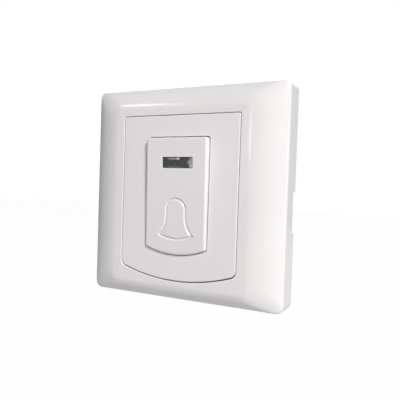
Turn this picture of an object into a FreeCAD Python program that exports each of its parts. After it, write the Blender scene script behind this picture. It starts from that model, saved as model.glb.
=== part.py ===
import FreeCAD, Part
import math
import os
import Sketcher

# Doorbell push button on a square wall plate, in millimetres.
# X runs to the right, Y into the wall and Z up. The origin is the centre of the wall plane behind
# the plate, and a height in this file is the distance from that plane towards the front (-Y).

doc = FreeCAD.newDocument("DoorbellPushButton")
sheet = doc.addObject("Spreadsheet::Sheet", "Sizes")

driving_sizes = {
    # Face frame: a domed ring that clips over the base plate
    "plate_side": 86.0,
    "corner_radius": 2.8,
    "side_height": 10.4,
    "crown_height": 15.6,
    "edge_radius": 1.3,
    "crown_slope_outside": 40.0,
    "crown_slope_inside": 5.0,
    "frame_wall": 2.0,
    "crown_run_top": 9.8,
    "crown_run_foot": 6.4,
    "land_side": 3.55,
    "land_above": 2.3,
    "land_below": 2.1,
    "land_corner": 1.5,
    "collar_wall": 1.4,
    "collar_depth": 6.5,
    "pry_slot_top": 2.2,
    "pry_slot_length": 16.0,
    "pry_slot_depth": 2.7,
    "barb_reach": 0.9,
    "barb_length": 8.0,
    "barb_offset": 22.0,
    # Insert panel: the flat centre with a curved foot
    "insert_half_width": 25.85,
    "insert_foot_radius": 75.0,
    "insert_foot_corner": 3.0,
    "insert_top_corner": 0.6,
    "insert_edge_radius": 0.5,
    "seam": 0.2,
    "foot_seam": 0.4,
    "panel_thickness": 1.8,
    "skirt_wall": 1.6,
    "clip_place": 13.0,
    "clip_shoulder": 2.0,
    "clip_clearance": 0.45,
    "clip_width": 7.0,
    "clip_barb": 0.8,
    # Push key
    "key_half_width": 13.5,
    "key_below_top": 8.8,
    "key_above_foot": 10.5,
    "key_foot_radius": 35.2,
    "key_corner": 1.0,
    "key_gap": 0.35,
    "key_proud": 1.3,
    "key_face": 1.6,
    "key_wall": 1.4,
    "key_depth": 6.3,
    "key_edge_radius": 0.85,
    "key_tilt": 1.6,
    "key_travel": 3.2,
    "hinge_above_foot": 7.0,
    "hinge_setback": 1.6,
    "trunnion_radius": 1.2,
    "trunnion_reach": 2.0,
    "hinge_clearance": 0.05,
    "ear_half_height": 2.4,
    "ear_gap": 0.5,
    "ear_thickness": 1.6,
    "ear_mouth": 2.0,
    "post_radius": 2.2,
    "post_drop": 3.8,
    "rib_thickness": 1.0,
    "rib_depth": 2.6,
    "lug_drop": 2.5,
    "lug_length": 5.0,
    "lug_thickness": 1.2,
    "lug_reach": 1.25,
    # Window and lens
    "window_width": 13.6,
    "window_height": 4.3,
    "window_below_top": 9.85,
    "window_shift": 0.7,
    "lens_recess": 0.5,
    "lens_flange": 0.7,
    "lens_flange_thickness": 0.6,
    "slip_gap": 0.05,
    # Bell emblem, a groove in the key's face
    "bell_shift": 0.4,
    "bell_height": 11.6,
    "bell_dome_radius": 4.2,
    "bell_flank": 2.35,
    "bell_flare_radius": 10.7,
    "bell_above_foot": 6.25,
    "bell_foot_radius": 17.2,
    "groove_width": 1.3,
    "groove_depth": 0.5,
    # Base plate
    "base_thickness": 2.5,
    "base_gap": 0.2,
    "base_rim_height": 2.5,
    "base_rim_wall": 1.5,
    "fixing_centres": 60.3,
    "slot_width": 4.5,
    "slot_length": 7.0,
    "slot_pad": 2.4,
    "slot_pad_height": 1.0,
    "ledge_thickness": 0.9,
    # Mechanism housing and its rear cover
    "housing_half_height": 20.0,
    "housing_wall": 1.6,
    "housing_front": 7.0,
    "housing_depth": 15.0,
    "housing_corner": 1.5,
    "flange_reach": 3.8,
    "flange_thickness": 1.8,
    "fit_gap": 0.2,
    "cover_thickness": 2.0,
    "housing_screw_inset": 2.1,
    "cover_screw_inset": 3.5,
    "cover_screw_grip": 5.0,
    "cover_boss_wall": 1.0,
    "driver_slot": 0.5,
    "screw_radius": 1.0,
    "screw_head_radius": 1.9,
    "screw_head_height": 1.3,
    # Plunger and contacts
    "plunger_below_window": 9.25,
    "plunger_radius": 2.5,
    "plunger_dome": 2.0,
    "plunger_shoulder": 2.9,
    "guide_wall": 1.5,
    "guide_proud": 0.4,
    "collar_radius": 4.0,
    "collar_thickness": 1.4,
    "rest_gap": 0.3,
    "stem_radius": 1.6,
    "stem_length": 8.5,
    "bridge_setback": 4.5,
    "bridge_thickness": 0.8,
    "bridge_overhang": 2.0,
    "bridge_half_width": 2.0,
    "clip_radius": 3.0,
    "clip_thickness": 0.65,
    "clip_mouth": 2.2,
    "contact_inset": 2.0,
    "contact_radius": 1.5,
    "contact_height": 0.7,
    "rivet_radius": 0.8,
    "closed_gap": 0.05,
    "coil_radius": 2.4,
    "coil_wire": 0.3,
    "return_turns": 5.0,
    "contact_turns": 3.0,
    "spring_seat_height": 3.0,
    "spring_pin_height": 2.5,
    "spring_pin_radius": 1.5,
    # Terminals
    "strip_thickness": 0.8,
    "strip_half_width": 4.0,
    "strip_margin": 0.5,
    "block_width": 7.2,
    "block_head": 6.0,
    "block_foot": 14.0,
    "tab_half_width": 1.5,
    "tab_margin": 1.0,
    "wire_drop": 10.0,
    "wire_bore_radius": 1.7,
    "wire_bore_depth": 6.5,
    "wire_entry_radius": 2.0,
    "clamp_setback": 4.0,
    "clamp_head_radius": 2.1,
    "clamp_head_height": 1.6,
    "clamp_open": 0.8,
    "driver_hole_radius": 2.6,
    "rib_reach": 3.0,
    # Indicator lamp
    "lamp_below_window": 0.25,
    "lamp_height": 11.2,
    "lamp_radius": 2.0,
    "lamp_wall": 0.4,
    "lamp_half_length": 4.6,
    "lamp_seal": 2.0,
    "holder_base": 1.0,
    "holder_half_height": 3.0,
    "holder_margin": 1.8,
    "saddle_thickness": 1.2,
    "saddle_place": 2.6,
    "saddle_half_height": 2.7,
    "lead_radius": 0.35,
    "lead_spread": 0.7,
    "electrode_reach": 2.5,
    "near_lead_reach": 1.6,
    "far_lead_reach": 3.6,
    "lead_run_height": 3.4,
    "resistor_radius": 1.2,
    "resistor_front": 2.0,
    "resistor_length": 6.3,
}

for row, (alias, size) in enumerate(driving_sizes.items(), 1):
    sheet.set("A%d" % row, alias)
    sheet.set("B%d" % row, str(size))
    sheet.setAlias("B%d" % row, alias)
doc.recompute()


class Size:
    # A length or angle that carries its value and the sheet formula that it comes from.
    def __init__(self, value, text):
        self.value = value
        self.text = text

    def __add__(self, other):
        return joined(self, "+", other, lambda a, b: a + b)

    def __radd__(self, other):
        return joined(other, "+", self, lambda a, b: a + b)

    def __sub__(self, other):
        return joined(self, "-", other, lambda a, b: a - b)

    def __rsub__(self, other):
        return joined(other, "-", self, lambda a, b: a - b)

    def __mul__(self, other):
        return joined(self, "*", other, lambda a, b: a * b)

    def __rmul__(self, other):
        return joined(other, "*", self, lambda a, b: a * b)

    def __truediv__(self, other):
        return joined(self, "/", other, lambda a, b: a / b)

    def __rtruediv__(self, other):
        return joined(other, "/", self, lambda a, b: a / b)

    def __neg__(self):
        return joined(0, "-", self, lambda a, b: a - b)


def value(size):
    return size.value if isinstance(size, Size) else float(size)


def formula(size):
    return size.text if isinstance(size, Size) else repr(float(size))


def joined(a, sign, b, work):
    return Size(work(value(a), value(b)), "(%s %s %s)" % (formula(a), sign, formula(b)))


def root(size):
    return Size(math.sqrt(value(size)), "sqrt(%s)" % formula(size))


def sine(angle):
    return Size(math.sin(math.radians(value(angle))), "sin(%s)" % formula(angle))


def cosine(angle):
    return Size(math.cos(math.radians(value(angle))), "cos(%s)" % formula(angle))


def tangent(angle):
    return Size(math.tan(math.radians(value(angle))), "tan(%s)" % formula(angle))


class Dimensions:
    pass


size = Dimensions()
for alias in driving_sizes:
    setattr(size, alias, Size(sheet.get(alias), "Sizes." + alias))


# Tools that draw sketches and bind features to the sheet

FRONT = "XZ_Plane"
SIDE = "YZ_Plane"
UP = "XY_Plane"
LINE_START, LINE_END, CENTRE = range(1, 4)
ORIGIN = (-1, 1)
pieces = []


def bind(thing, path, amount):
    thing.setExpression(path, formula(amount))


def new_body(label):
    body = doc.addObject("PartDesign::Body", label.title().replace("_", ""))
    body.Label = label
    pieces.append(body)
    return body


def new_sketch(body, name, plane, offset):
    sketch = body.newObject("Sketcher::SketchObject", name)
    origin_plane = [f for f in body.Origin.OriginFeatures if f.Role == plane][0]
    sketch.AttachmentSupport = (origin_plane, [""])
    sketch.MapMode = "FlatFace"
    bind(sketch, "AttachmentOffset.Base.z", offset)
    return sketch


def dimension(sketch, kind, where, amount):
    index = sketch.addConstraint(Sketcher.Constraint(kind, *where, value(amount)))
    sketch.setExpression("Constraints[%d]" % index, formula(amount))


def pin_point(sketch, geometry, end, across, along):
    dimension(sketch, "DistanceX", ORIGIN + (geometry, end), across)
    dimension(sketch, "DistanceY", ORIGIN + (geometry, end), along)


def join(sketch, first, first_end, second, second_end):
    sketch.addConstraint(Sketcher.Constraint("Coincident", first, first_end, second, second_end))


def vector(across, along):
    return FreeCAD.Vector(value(across), value(along), 0)


def polygon(sketch, *corners):
    first = sketch.GeometryCount
    count = len(corners)
    for index, corner in enumerate(corners):
        following = corners[(index + 1) % count]
        sketch.addGeometry(Part.LineSegment(vector(*corner), vector(*following)))
    for index, corner in enumerate(corners):
        join(sketch, first + index, LINE_END, first + (index + 1) % count, LINE_START)
        pin_point(sketch, first + index, LINE_START, *corner)


def rectangle(sketch, left, right, bottom, top):
    polygon(sketch, (left, bottom), (right, bottom), (right, top), (left, top))


def circle(sketch, across, along, radius):
    index = sketch.addGeometry(
        Part.Circle(vector(across, along), FreeCAD.Vector(0, 0, 1), value(radius)))
    pin_point(sketch, index, CENTRE, across, along)
    dimension(sketch, "Radius", (index,), radius)


def add_arc(sketch, across, along, radius, start_angle, end_angle):
    ring = Part.Circle(vector(across, along), FreeCAD.Vector(0, 0, 1), value(radius))
    arc = Part.ArcOfCircle(ring, math.radians(start_angle), math.radians(end_angle))
    index = sketch.addGeometry(arc)
    pin_point(sketch, index, CENTRE, across, along)
    dimension(sketch, "Radius", (index,), radius)
    return index


def rounded_rectangle(sketch, left, right, bottom, top, radius):
    centres = ((right - radius, top - radius, 0), (left + radius, top - radius, 90),
               (left + radius, bottom + radius, 180), (right - radius, bottom + radius, 270))
    arcs = [add_arc(sketch, x, z, radius, turn, turn + 90) for x, z, turn in centres]
    for index, arc in enumerate(arcs):
        following = arcs[(index + 1) % 4]
        line = sketch.addGeometry(Part.LineSegment(
            sketch.getPoint(arc, LINE_END), sketch.getPoint(following, LINE_START)))
        join(sketch, arc, LINE_END, line, LINE_START)
        join(sketch, line, LINE_END, following, LINE_START)
        # Both ends of a quarter arc are square to its centre, so the sides run on tangent to it
        first, last = ("Horizontal", "Vertical") if index % 2 == 0 else ("Vertical", "Horizontal")
        sketch.addConstraint(Sketcher.Constraint(first, arc, LINE_START, arc, CENTRE))
        sketch.addConstraint(Sketcher.Constraint(last, arc, LINE_END, arc, CENTRE))


def slot(sketch, left, right, middle, half_width):
    # A slot along the first sketch axis with round ends
    arcs = [add_arc(sketch, right - half_width, middle, half_width, 270, 450),
            add_arc(sketch, left + half_width, middle, half_width, 90, 270)]
    for arc, following in (arcs, reversed(arcs)):
        line = sketch.addGeometry(Part.LineSegment(
            sketch.getPoint(arc, LINE_END), sketch.getPoint(following, LINE_START)))
        join(sketch, arc, LINE_END, line, LINE_START)
        join(sketch, line, LINE_END, following, LINE_START)
        for end in (LINE_START, LINE_END):
            sketch.addConstraint(Sketcher.Constraint("Vertical", arc, end, arc, CENTRE))


def curved_foot(sketch, half_width, top, foot, foot_radius):
    # Straight sides and top, and one arc that hangs down in the middle
    centre = foot_radius - foot
    half_turn = math.degrees(math.asin(value(half_width) / value(foot_radius)))
    corner = centre - root(foot_radius * foot_radius - half_width * half_width)
    arc = add_arc(sketch, 0, centre, foot_radius, 270 - half_turn, 270 + half_turn)
    right = sketch.addGeometry(Part.LineSegment(vector(half_width, corner), vector(half_width, top)))
    across = sketch.addGeometry(Part.LineSegment(vector(half_width, top), vector(-half_width, top)))
    left = sketch.addGeometry(Part.LineSegment(vector(-half_width, top), vector(-half_width, corner)))
    join(sketch, arc, LINE_END, right, LINE_START)
    join(sketch, right, LINE_END, across, LINE_START)
    join(sketch, across, LINE_END, left, LINE_START)
    join(sketch, left, LINE_END, arc, LINE_START)
    pin_point(sketch, across, LINE_START, half_width, top)
    pin_point(sketch, left, LINE_START, -half_width, top)
    sketch.addConstraint(Sketcher.Constraint("Vertical", right))
    sketch.addConstraint(Sketcher.Constraint("Vertical", left))


def pad(body, name, plane, low, high, draw, *sizes):
    sketch = new_sketch(body, name + "Sketch", plane, low)
    draw(sketch, *sizes)
    feature = body.newObject("PartDesign::Pad", name)
    feature.Profile = sketch
    bind(feature, "Length", high - low)
    return feature


def cut(body, name, plane, low, high, draw, *sizes):
    sketch = new_sketch(body, name + "Sketch", plane, high)
    draw(sketch, *sizes)
    feature = body.newObject("PartDesign::Pocket", name)
    feature.Profile = sketch
    bind(feature, "Length", high - low)
    return feature


def edges_where(shape, test):
    return ["Edge%d" % index for index, edge in enumerate(shape.Edges, 1) if test(edge)]


def fillet(body, name, radius, test):
    doc.recompute()
    base = body.Tip
    feature = body.newObject("PartDesign::Fillet", name)
    feature.Base = (base, edges_where(base.Shape, test))
    bind(feature, "Radius", radius)
    return feature


def runs_in_depth(edge):
    # A straight edge along Y
    box = edge.BoundBox
    return box.YLength > 0.1 and box.XLength < 1e-4 and box.ZLength < 1e-4


def lies_at(height):
    # An edge wholly at one distance in front of the wall plane
    def test(edge):
        box = edge.BoundBox
        return abs(box.YMin + value(height)) < 1e-4 and abs(box.YMax + value(height)) < 1e-4
    return test


def span(side, inner, outer):
    # The two ends of a stretch on the right (+1) or left (-1), lowest first
    return (inner, outer) if side > 0 else (-outer, -inner)


SIDES = (("right", 1), ("left", -1))
ENDS = (("Top", 1), ("Bottom", -1))


# Heights that several pieces share

wall_plane = Size(0.0, "0")
plate_half = size.plate_side / 2
land_half_width = size.insert_half_width + size.land_side
land_top = plate_half - size.crown_run_top
land_foot = plate_half - size.crown_run_foot
insert_top = land_top - size.land_above
insert_foot = land_foot - size.land_below
key_top = insert_top - size.key_below_top
key_foot = insert_foot - size.key_above_foot
hinge_drop = key_foot - size.hinge_above_foot
window_rise = key_top - size.window_below_top
bell_foot_drop = key_foot - size.bell_above_foot
bell_dome_drop = bell_foot_drop - size.bell_height
plunger_rise = window_rise - size.plunger_below_window
lamp_rise = window_rise - size.lamp_below_window
panel_rear = size.crown_height - size.panel_thickness
key_front = size.crown_height + size.key_proud
key_face_rear = key_front - size.key_face
key_rear = key_front - size.key_depth
hinge_height = panel_rear - size.hinge_setback
post_end = hinge_height - size.post_drop
lug_top = key_top - size.lug_drop
lug_front = panel_rear - (lug_top + hinge_drop) * tangent(size.key_tilt) - size.slip_gap
lever_arm = plunger_rise + hinge_drop
rest_lift = lever_arm * tangent(size.key_tilt)
plunger_apex = hinge_height - size.post_drop / cosine(size.key_tilt) + rest_lift - size.slip_gap
plunger_travel = lever_arm * (tangent(size.key_tilt) + tangent(size.key_travel - size.key_tilt))
collar_rear = size.plunger_shoulder - size.collar_thickness
bridge_front = collar_rear - size.bridge_setback
bridge_rear = bridge_front - size.bridge_thickness
clip_front = bridge_rear - size.slip_gap
clip_rear = clip_front - size.clip_thickness
moving_contact_rear = bridge_rear - size.contact_height
fixed_contact_front = moving_contact_rear - plunger_travel - size.closed_gap
strip_front = fixed_contact_front - size.contact_height
strip_rear = strip_front - size.strip_thickness
housing_floor = size.housing_front - size.housing_wall
housing_half_width = (size.insert_half_width - size.skirt_wall - size.clip_clearance
                      - size.flange_reach)
housing_inside = housing_half_width - size.housing_wall
housing_inside_height = size.housing_half_height - size.housing_wall
housing_box = (-housing_half_width, housing_half_width,
               -size.housing_half_height, size.housing_half_height)
housing_screw_across = housing_half_width + size.flange_reach - size.housing_screw_inset
housing_screw_along = size.housing_half_height + size.flange_reach - size.housing_screw_inset
cover_screw_place = size.housing_half_height - size.cover_screw_inset
cover_front = -size.housing_depth
cover_rear = cover_front - size.cover_thickness
block_outer = housing_inside - size.fit_gap
block_inner = block_outer - size.block_width
wire_place = (block_inner + block_outer) / 2
contact_place = block_inner - size.contact_inset
flange_front = size.base_thickness + size.flange_thickness
skirt_back = size.housing_front + size.fit_gap
inner_half = plate_half - size.frame_wall
base_half = inner_half - size.base_gap
insert_outline = (size.insert_half_width, insert_top, insert_foot, size.insert_foot_radius)
window_half_width = size.insert_half_width + size.seam
opening_half_width = size.key_half_width + size.key_gap
opening_top = key_top + size.key_gap
opening_foot = key_foot + size.key_gap
opening_foot_radius = size.key_foot_radius + size.key_gap
clamp_depth = -(cover_front + size.clamp_setback)
near_lead_place = size.lamp_half_length + size.near_lead_reach
far_lead_place = size.lamp_half_length + size.far_lead_reach
resistor_end = size.resistor_length - size.resistor_front
near_rise = lamp_rise + size.lead_spread
far_rise = lamp_rise - size.lead_spread
leads = (("Near", near_lead_place, near_rise), ("Far", far_lead_place, far_rise))


# Face frame: side walls, domed crown, hollow inside

CROWN_SECTIONS = range(5)


def crown_section(step, inset):
    # The crown is an arc in section, steep outside and nearly flat at the inner land.
    # Its run differs on each side because the land isn't centred. An inset gives the inside face.
    slope = size.crown_slope_outside + (
        size.crown_slope_inside - size.crown_slope_outside) * (step / CROWN_SECTIONS[-1])
    steepest = sine(size.crown_slope_outside) - sine(size.crown_slope_inside)
    deepest = cosine(size.crown_slope_inside) - cosine(size.crown_slope_outside)
    run = (sine(slope) - sine(size.crown_slope_inside)) / steepest
    drop = (cosine(size.crown_slope_inside) - cosine(slope)) / deepest
    height = size.crown_height - inset - (size.crown_height - size.side_height) * drop
    half_width = land_half_width - inset / 2 + (plate_half - inset / 2 - land_half_width) * run
    top = land_top - inset / 2 + (plate_half - inset / 2 - land_top) * run
    foot = land_foot - inset / 2 + (plate_half - inset / 2 - land_foot) * run
    radius = size.land_corner + (size.corner_radius - inset - size.land_corner) * run
    return height, (-half_width, half_width, -foot, top, radius)


def crown_loft(body, name, kind, inset):
    sketches = []
    for step in CROWN_SECTIONS:
        height, outline = crown_section(step, inset)
        sketch = new_sketch(body, "%sSection%d" % (name, step), FRONT, height)
        rounded_rectangle(sketch, *outline)
        sketches.append(sketch)
    loft = body.newObject(kind, name)
    loft.Profile = sketches[0]
    loft.Sections = sketches[1:]
    loft.Ruled = False
    return loft


def make_face_frame():
    body = new_body("face_frame")
    pad(body, "SideWalls", FRONT, wall_plane, size.side_height, rounded_rectangle,
        -plate_half, plate_half, -plate_half, plate_half, size.corner_radius)
    crown_loft(body, "Crown", "PartDesign::AdditiveLoft", wall_plane)
    fillet(body, "CrownEdge", size.edge_radius, lies_at(size.side_height))
    wall_corner = size.corner_radius - size.frame_wall
    cut(body, "Hollow", FRONT, wall_plane, size.side_height - size.frame_wall,
        rounded_rectangle, -inner_half, inner_half, -inner_half, inner_half, wall_corner)
    crown_loft(body, "CrownInside", "PartDesign::SubtractiveLoft", size.frame_wall)
    # A collar behind the window stiffens the ring and lines the gap round the insert
    window = (window_half_width, insert_top + size.seam, insert_foot + size.foot_seam,
              size.insert_foot_radius + size.foot_seam)
    pad(body, "Collar", FRONT, size.crown_height - size.collar_depth,
        size.crown_height - size.frame_wall / 2, curved_foot,
        *[amount + size.collar_wall for amount in window])
    cut(body, "Window", FRONT, wall_plane, size.crown_height, curved_foot, *window)
    fillet(body, "WindowCorners", size.insert_foot_corner + size.seam, lambda edge: runs_in_depth(edge)
           and edge.BoundBox.ZMax < 0 and abs(abs(edge.BoundBox.XMax) - value(window_half_width)) < 1e-4)
    cut(body, "PrySlot", SIDE, inner_half - size.barb_reach, plate_half, rectangle,
        -size.pry_slot_depth, size.edge_radius, size.pry_slot_top - size.pry_slot_length,
        size.pry_slot_top)
    # Barbs on the top and bottom walls snap in behind the ledge of the base plate
    for end, direction in ENDS:
        for place, sign in SIDES:
            middle = sign * size.barb_offset
            wall = direction * (inner_half + size.frame_wall / 4)
            tip = direction * (inner_half - size.barb_reach)
            rear = -size.rest_gap
            front = -(size.base_thickness - size.ledge_thickness - size.slip_gap)
            pad(body, "Barb" + end + place.title(), SIDE, middle - size.barb_length / 2,
                middle + size.barb_length / 2, polygon,
                (rear, wall), (front, wall), (front, tip), (rear - size.barb_reach / 2, tip))
    return body


def make_insert_panel():
    body = new_body("insert_panel")
    pad(body, "Panel", FRONT, skirt_back, size.crown_height, curved_foot, *insert_outline)
    fillet(body, "FootCorners", size.insert_foot_corner,
           lambda edge: runs_in_depth(edge) and edge.BoundBox.ZMax < 0)
    fillet(body, "TopCorners", size.insert_top_corner,
           lambda edge: runs_in_depth(edge) and edge.BoundBox.ZMin > value(insert_top) / 2)
    fillet(body, "FrontEdge", size.insert_edge_radius, lies_at(size.crown_height))
    cut(body, "Underside", FRONT, skirt_back, panel_rear, curved_foot,
        *[amount - size.skirt_wall for amount in insert_outline])
    cut(body, "KeyOpening", FRONT, skirt_back, size.crown_height, curved_foot,
        opening_half_width, opening_top, opening_foot, opening_foot_radius)
    fillet(body, "OpeningCorners", size.key_corner + size.key_gap, lambda edge: runs_in_depth(edge)
           and abs(abs(edge.BoundBox.XMax) - value(opening_half_width)) < 1e-4)
    # Ears behind the panel hold the key's trunnions; each bore is open at the rear to snap in
    ear_low = size.key_half_width + size.ear_gap
    bore = size.trunnion_radius + size.hinge_clearance
    for place, side in SIDES:
        near, far = span(side, ear_low, ear_low + size.ear_thickness)
        pad(body, "Ear" + place.title(), SIDE, near, far, rectangle,
            -panel_rear - size.panel_thickness / 4, -(hinge_height - size.ear_half_height),
            -hinge_drop - size.ear_half_height, -hinge_drop + size.ear_half_height)
        cut(body, "EarBore" + place.title(), SIDE, near, far, circle,
            -hinge_height, -hinge_drop, bore)
        cut(body, "EarMouth" + place.title(), SIDE, near, far, rectangle,
            -hinge_height, -(hinge_height - size.ear_half_height),
            -hinge_drop - size.ear_mouth / 2, -hinge_drop + size.ear_mouth / 2)
    # Legs stand on the base plate, and a clip on each reaches through it and hooks behind it,
    # inside its thickness
    clip_outer = size.insert_half_width - size.slip_gap
    for place, side in SIDES:
        for end, direction in ENDS:
            low = direction * size.clip_place - size.clip_width / 2
            high = direction * size.clip_place + size.clip_width / 2
            near, far = span(side, size.insert_half_width - size.skirt_wall, clip_outer)
            pad(body, "Leg" + place.title() + end, FRONT, size.base_thickness,
                skirt_back + size.skirt_wall, rectangle, near, far,
                low - size.clip_shoulder, high + size.clip_shoulder)
            pad(body, "Clip" + place.title() + end, FRONT, size.rest_gap,
                size.base_thickness + size.skirt_wall, rectangle, near, far, low, high)
            near, far = span(side, clip_outer - size.skirt_wall / 2, clip_outer + size.clip_barb)
            pad(body, "ClipBarb" + place.title() + end, FRONT, size.rest_gap,
                size.base_thickness - size.ledge_thickness - size.slip_gap, rectangle,
                near, far, low, high)
    return body


def make_base_plate():
    body = new_body("base_plate")
    corner = size.corner_radius - size.frame_wall - size.base_gap
    outline = (-base_half, base_half, -base_half, base_half, corner)
    pad(body, "Plate", FRONT, wall_plane, size.base_thickness + size.base_rim_height,
        rounded_rectangle, *outline)
    rim = base_half - size.base_rim_wall
    cut(body, "Inside", FRONT, size.base_thickness, size.base_thickness + size.base_rim_height,
        rounded_rectangle, -rim, rim, -rim, rim, corner / 2)
    across = housing_half_width + size.fit_gap
    along = size.housing_half_height + size.fit_gap
    cut(body, "MechanismOpening", FRONT, wall_plane, size.base_thickness, rounded_rectangle,
        -across, across, -along, along, size.housing_corner)
    half_slot = size.slot_width / 2
    for place, side in SIDES:
        # Raised pads under the heads of the fixing screws, each with its slot
        centre = side * size.fixing_centres / 2
        near, far = span(side, size.insert_half_width + size.fit_gap,
                         (size.fixing_centres + size.slot_length + size.slot_pad) / 2)
        pad(body, "SlotPad" + place.title(), FRONT, size.base_thickness,
            size.base_thickness + size.slot_pad_height, rounded_rectangle,
            near, far, -half_slot - size.slot_pad, half_slot + size.slot_pad, size.slot_pad / 2)
        cut(body, "Slot" + place.title(), FRONT, wall_plane,
            size.base_thickness + size.slot_pad_height, slot,
            centre - size.slot_length / 2, centre + size.slot_length / 2, wall_plane, half_slot)
        clip_inner = size.insert_half_width - size.skirt_wall - size.slip_gap
        half_clip = size.clip_width / 2 + size.fit_gap
        for end, direction in ENDS:
            # Slot for a clip of the insert, wider behind to take its hook
            spot = place.title() + end
            clip_low = direction * size.clip_place - half_clip
            clip_high = direction * size.clip_place + half_clip
            near, far = span(side, clip_inner, size.insert_half_width)
            cut(body, "ClipSlot" + spot, FRONT, wall_plane, size.base_thickness, rectangle,
                near, far, clip_low, clip_high)
            near, far = span(side, clip_inner,
                             size.insert_half_width + size.clip_barb + size.fit_gap)
            cut(body, "ClipRecess" + spot, FRONT, wall_plane,
                size.base_thickness - size.ledge_thickness, rectangle,
                near, far, clip_low, clip_high)
            middle = side * size.barb_offset
            low, high = span(direction, base_half - size.barb_reach - size.fit_gap,
                             base_half + size.base_gap)
            half_barb = size.barb_length / 2 + size.fit_gap
            cut(body, "BarbRecess" + spot, FRONT, wall_plane,
                size.base_thickness - size.ledge_thickness, rectangle,
                middle - half_barb, middle + half_barb, low, high)
            cut(body, "ScrewHole" + spot, FRONT, wall_plane, size.base_thickness, circle,
                side * housing_screw_across, direction * housing_screw_along,
                size.screw_radius + size.slip_gap)
    return body


def terminal_outline(sketch, side):
    # The flat strip behind its contact: an arm to the contact, a tab above it for the lamp's
    # lead, and a leg down over the clamp block
    top = plunger_rise + size.strip_half_width
    bottom = plunger_rise - size.strip_half_width
    end = contact_place - size.contact_radius - size.strip_margin
    tab_inner = contact_place - size.tab_half_width
    tab_outer = contact_place + size.tab_half_width
    tab_top = near_rise + size.tab_margin
    corners = [(end, bottom), (block_inner, bottom),
               (block_inner, -size.block_foot), (block_outer, -size.block_foot),
               (block_outer, top), (tab_outer, top), (tab_outer, tab_top),
               (tab_inner, tab_top), (tab_inner, top), (end, top)]
    polygon(sketch, *[(side * across, along) for across, along in corners])


def make_mechanism_housing():
    body = new_body("mechanism_housing")
    pad(body, "Box", FRONT, cover_front, size.housing_front, rounded_rectangle,
        *housing_box, size.housing_corner)
    across = housing_half_width + size.flange_reach
    along = size.housing_half_height + size.flange_reach
    pad(body, "Flange", FRONT, size.base_thickness, flange_front, rounded_rectangle,
        -across, across, -along, along, size.housing_corner)
    cut(body, "Cavity", FRONT, cover_front, housing_floor, rounded_rectangle,
        -housing_inside, housing_inside, -housing_inside_height, housing_inside_height,
        size.housing_corner / 2)
    # The guide stands through the front wall and its rear end stops the plunger's collar
    pad(body, "Guide", FRONT, size.plunger_shoulder + size.rest_gap,
        size.housing_front + size.guide_proud, circle,
        0, plunger_rise, size.plunger_radius + size.guide_wall)
    cut(body, "GuideBore", FRONT, size.plunger_shoulder + size.rest_gap,
        size.housing_front + size.guide_proud, circle,
        0, plunger_rise, size.plunger_radius + size.slip_gap)
    for place, side in SIDES:
        # A rib holds each terminal against the rear cover
        near, far = span(side, block_outer - size.rib_reach, housing_inside + size.housing_wall / 2)
        pad(body, "TerminalRib" + place.title(), FRONT, strip_front,
            housing_floor + size.housing_wall / 2, rectangle, near, far, -size.block_foot,
            plunger_rise + size.strip_half_width)
        cut(body, "DriverHole" + place.title(), UP, -size.housing_half_height,
            -housing_inside_height, circle, side * wire_place, clamp_depth,
            size.driver_hole_radius)
        pad(body, "CoverBoss" + place.title(), FRONT, cover_front,
            cover_front + size.cover_screw_grip + size.cover_boss_wall, circle,
            0, side * cover_screw_place, size.screw_head_radius + size.cover_boss_wall)
        cut(body, "CoverScrewHole" + place.title(), FRONT, cover_front,
            cover_front + size.cover_screw_grip, circle,
            0, side * cover_screw_place, size.screw_radius + size.slip_gap)
        for end, direction in ENDS:
            cut(body, "FlangeHole" + place.title() + end, FRONT,
                size.base_thickness, flange_front, circle,
                side * housing_screw_across, direction * housing_screw_along,
                size.screw_radius + size.slip_gap)
    for name, across, rise in leads:
        cut(body, name + "LeadHole", FRONT, housing_floor, size.housing_front, circle,
            across, rise, size.lead_radius + size.fit_gap)
    return body


def make_rear_cover():
    body = new_body("rear_cover")
    pad(body, "Plate", FRONT, cover_rear, cover_front, rounded_rectangle,
        *housing_box, size.housing_corner)
    fillet(body, "RearEdge", size.housing_corner / 2, lies_at(cover_rear))
    pad(body, "SpringSeat", FRONT, cover_front - size.cover_thickness / 2,
        cover_front + size.spring_seat_height, circle, 0, plunger_rise,
        size.coil_radius + size.guide_wall)
    pad(body, "SpringPin", FRONT, cover_front,
        cover_front + size.spring_seat_height + size.spring_pin_height, circle,
        0, plunger_rise, size.spring_pin_radius)
    for place, side in SIDES:
        cut(body, "WireEntry" + place.title(), FRONT, cover_rear, cover_front, circle,
            side * wire_place, -size.wire_drop, size.wire_entry_radius)
        cut(body, "ScrewHole" + place.title(), FRONT, cover_rear, cover_front, circle,
            0, side * cover_screw_place, size.screw_radius + size.slip_gap)
    return body


def tilt_with_key(body):
    # The key and its lens are drawn upright, then leaned out about the hinge to their rest
    depth = -hinge_height
    rise = -hinge_drop
    body.Placement = FreeCAD.Placement(
        FreeCAD.Vector(), FreeCAD.Rotation(FreeCAD.Vector(1, 0, 0), value(size.key_tilt)))
    bind(body, "Placement.Rotation.Angle", size.key_tilt)
    bind(body, "Placement.Base.y",
         depth - depth * cosine(size.key_tilt) + rise * sine(size.key_tilt))
    bind(body, "Placement.Base.z",
         rise - rise * cosine(size.key_tilt) - depth * sine(size.key_tilt))


def window_rectangle(margin):
    half_width = size.window_width / 2 + margin
    half_height = size.window_height / 2 + margin
    return (size.window_shift - half_width, size.window_shift + half_width,
            window_rise - half_height, window_rise + half_height)


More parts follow.
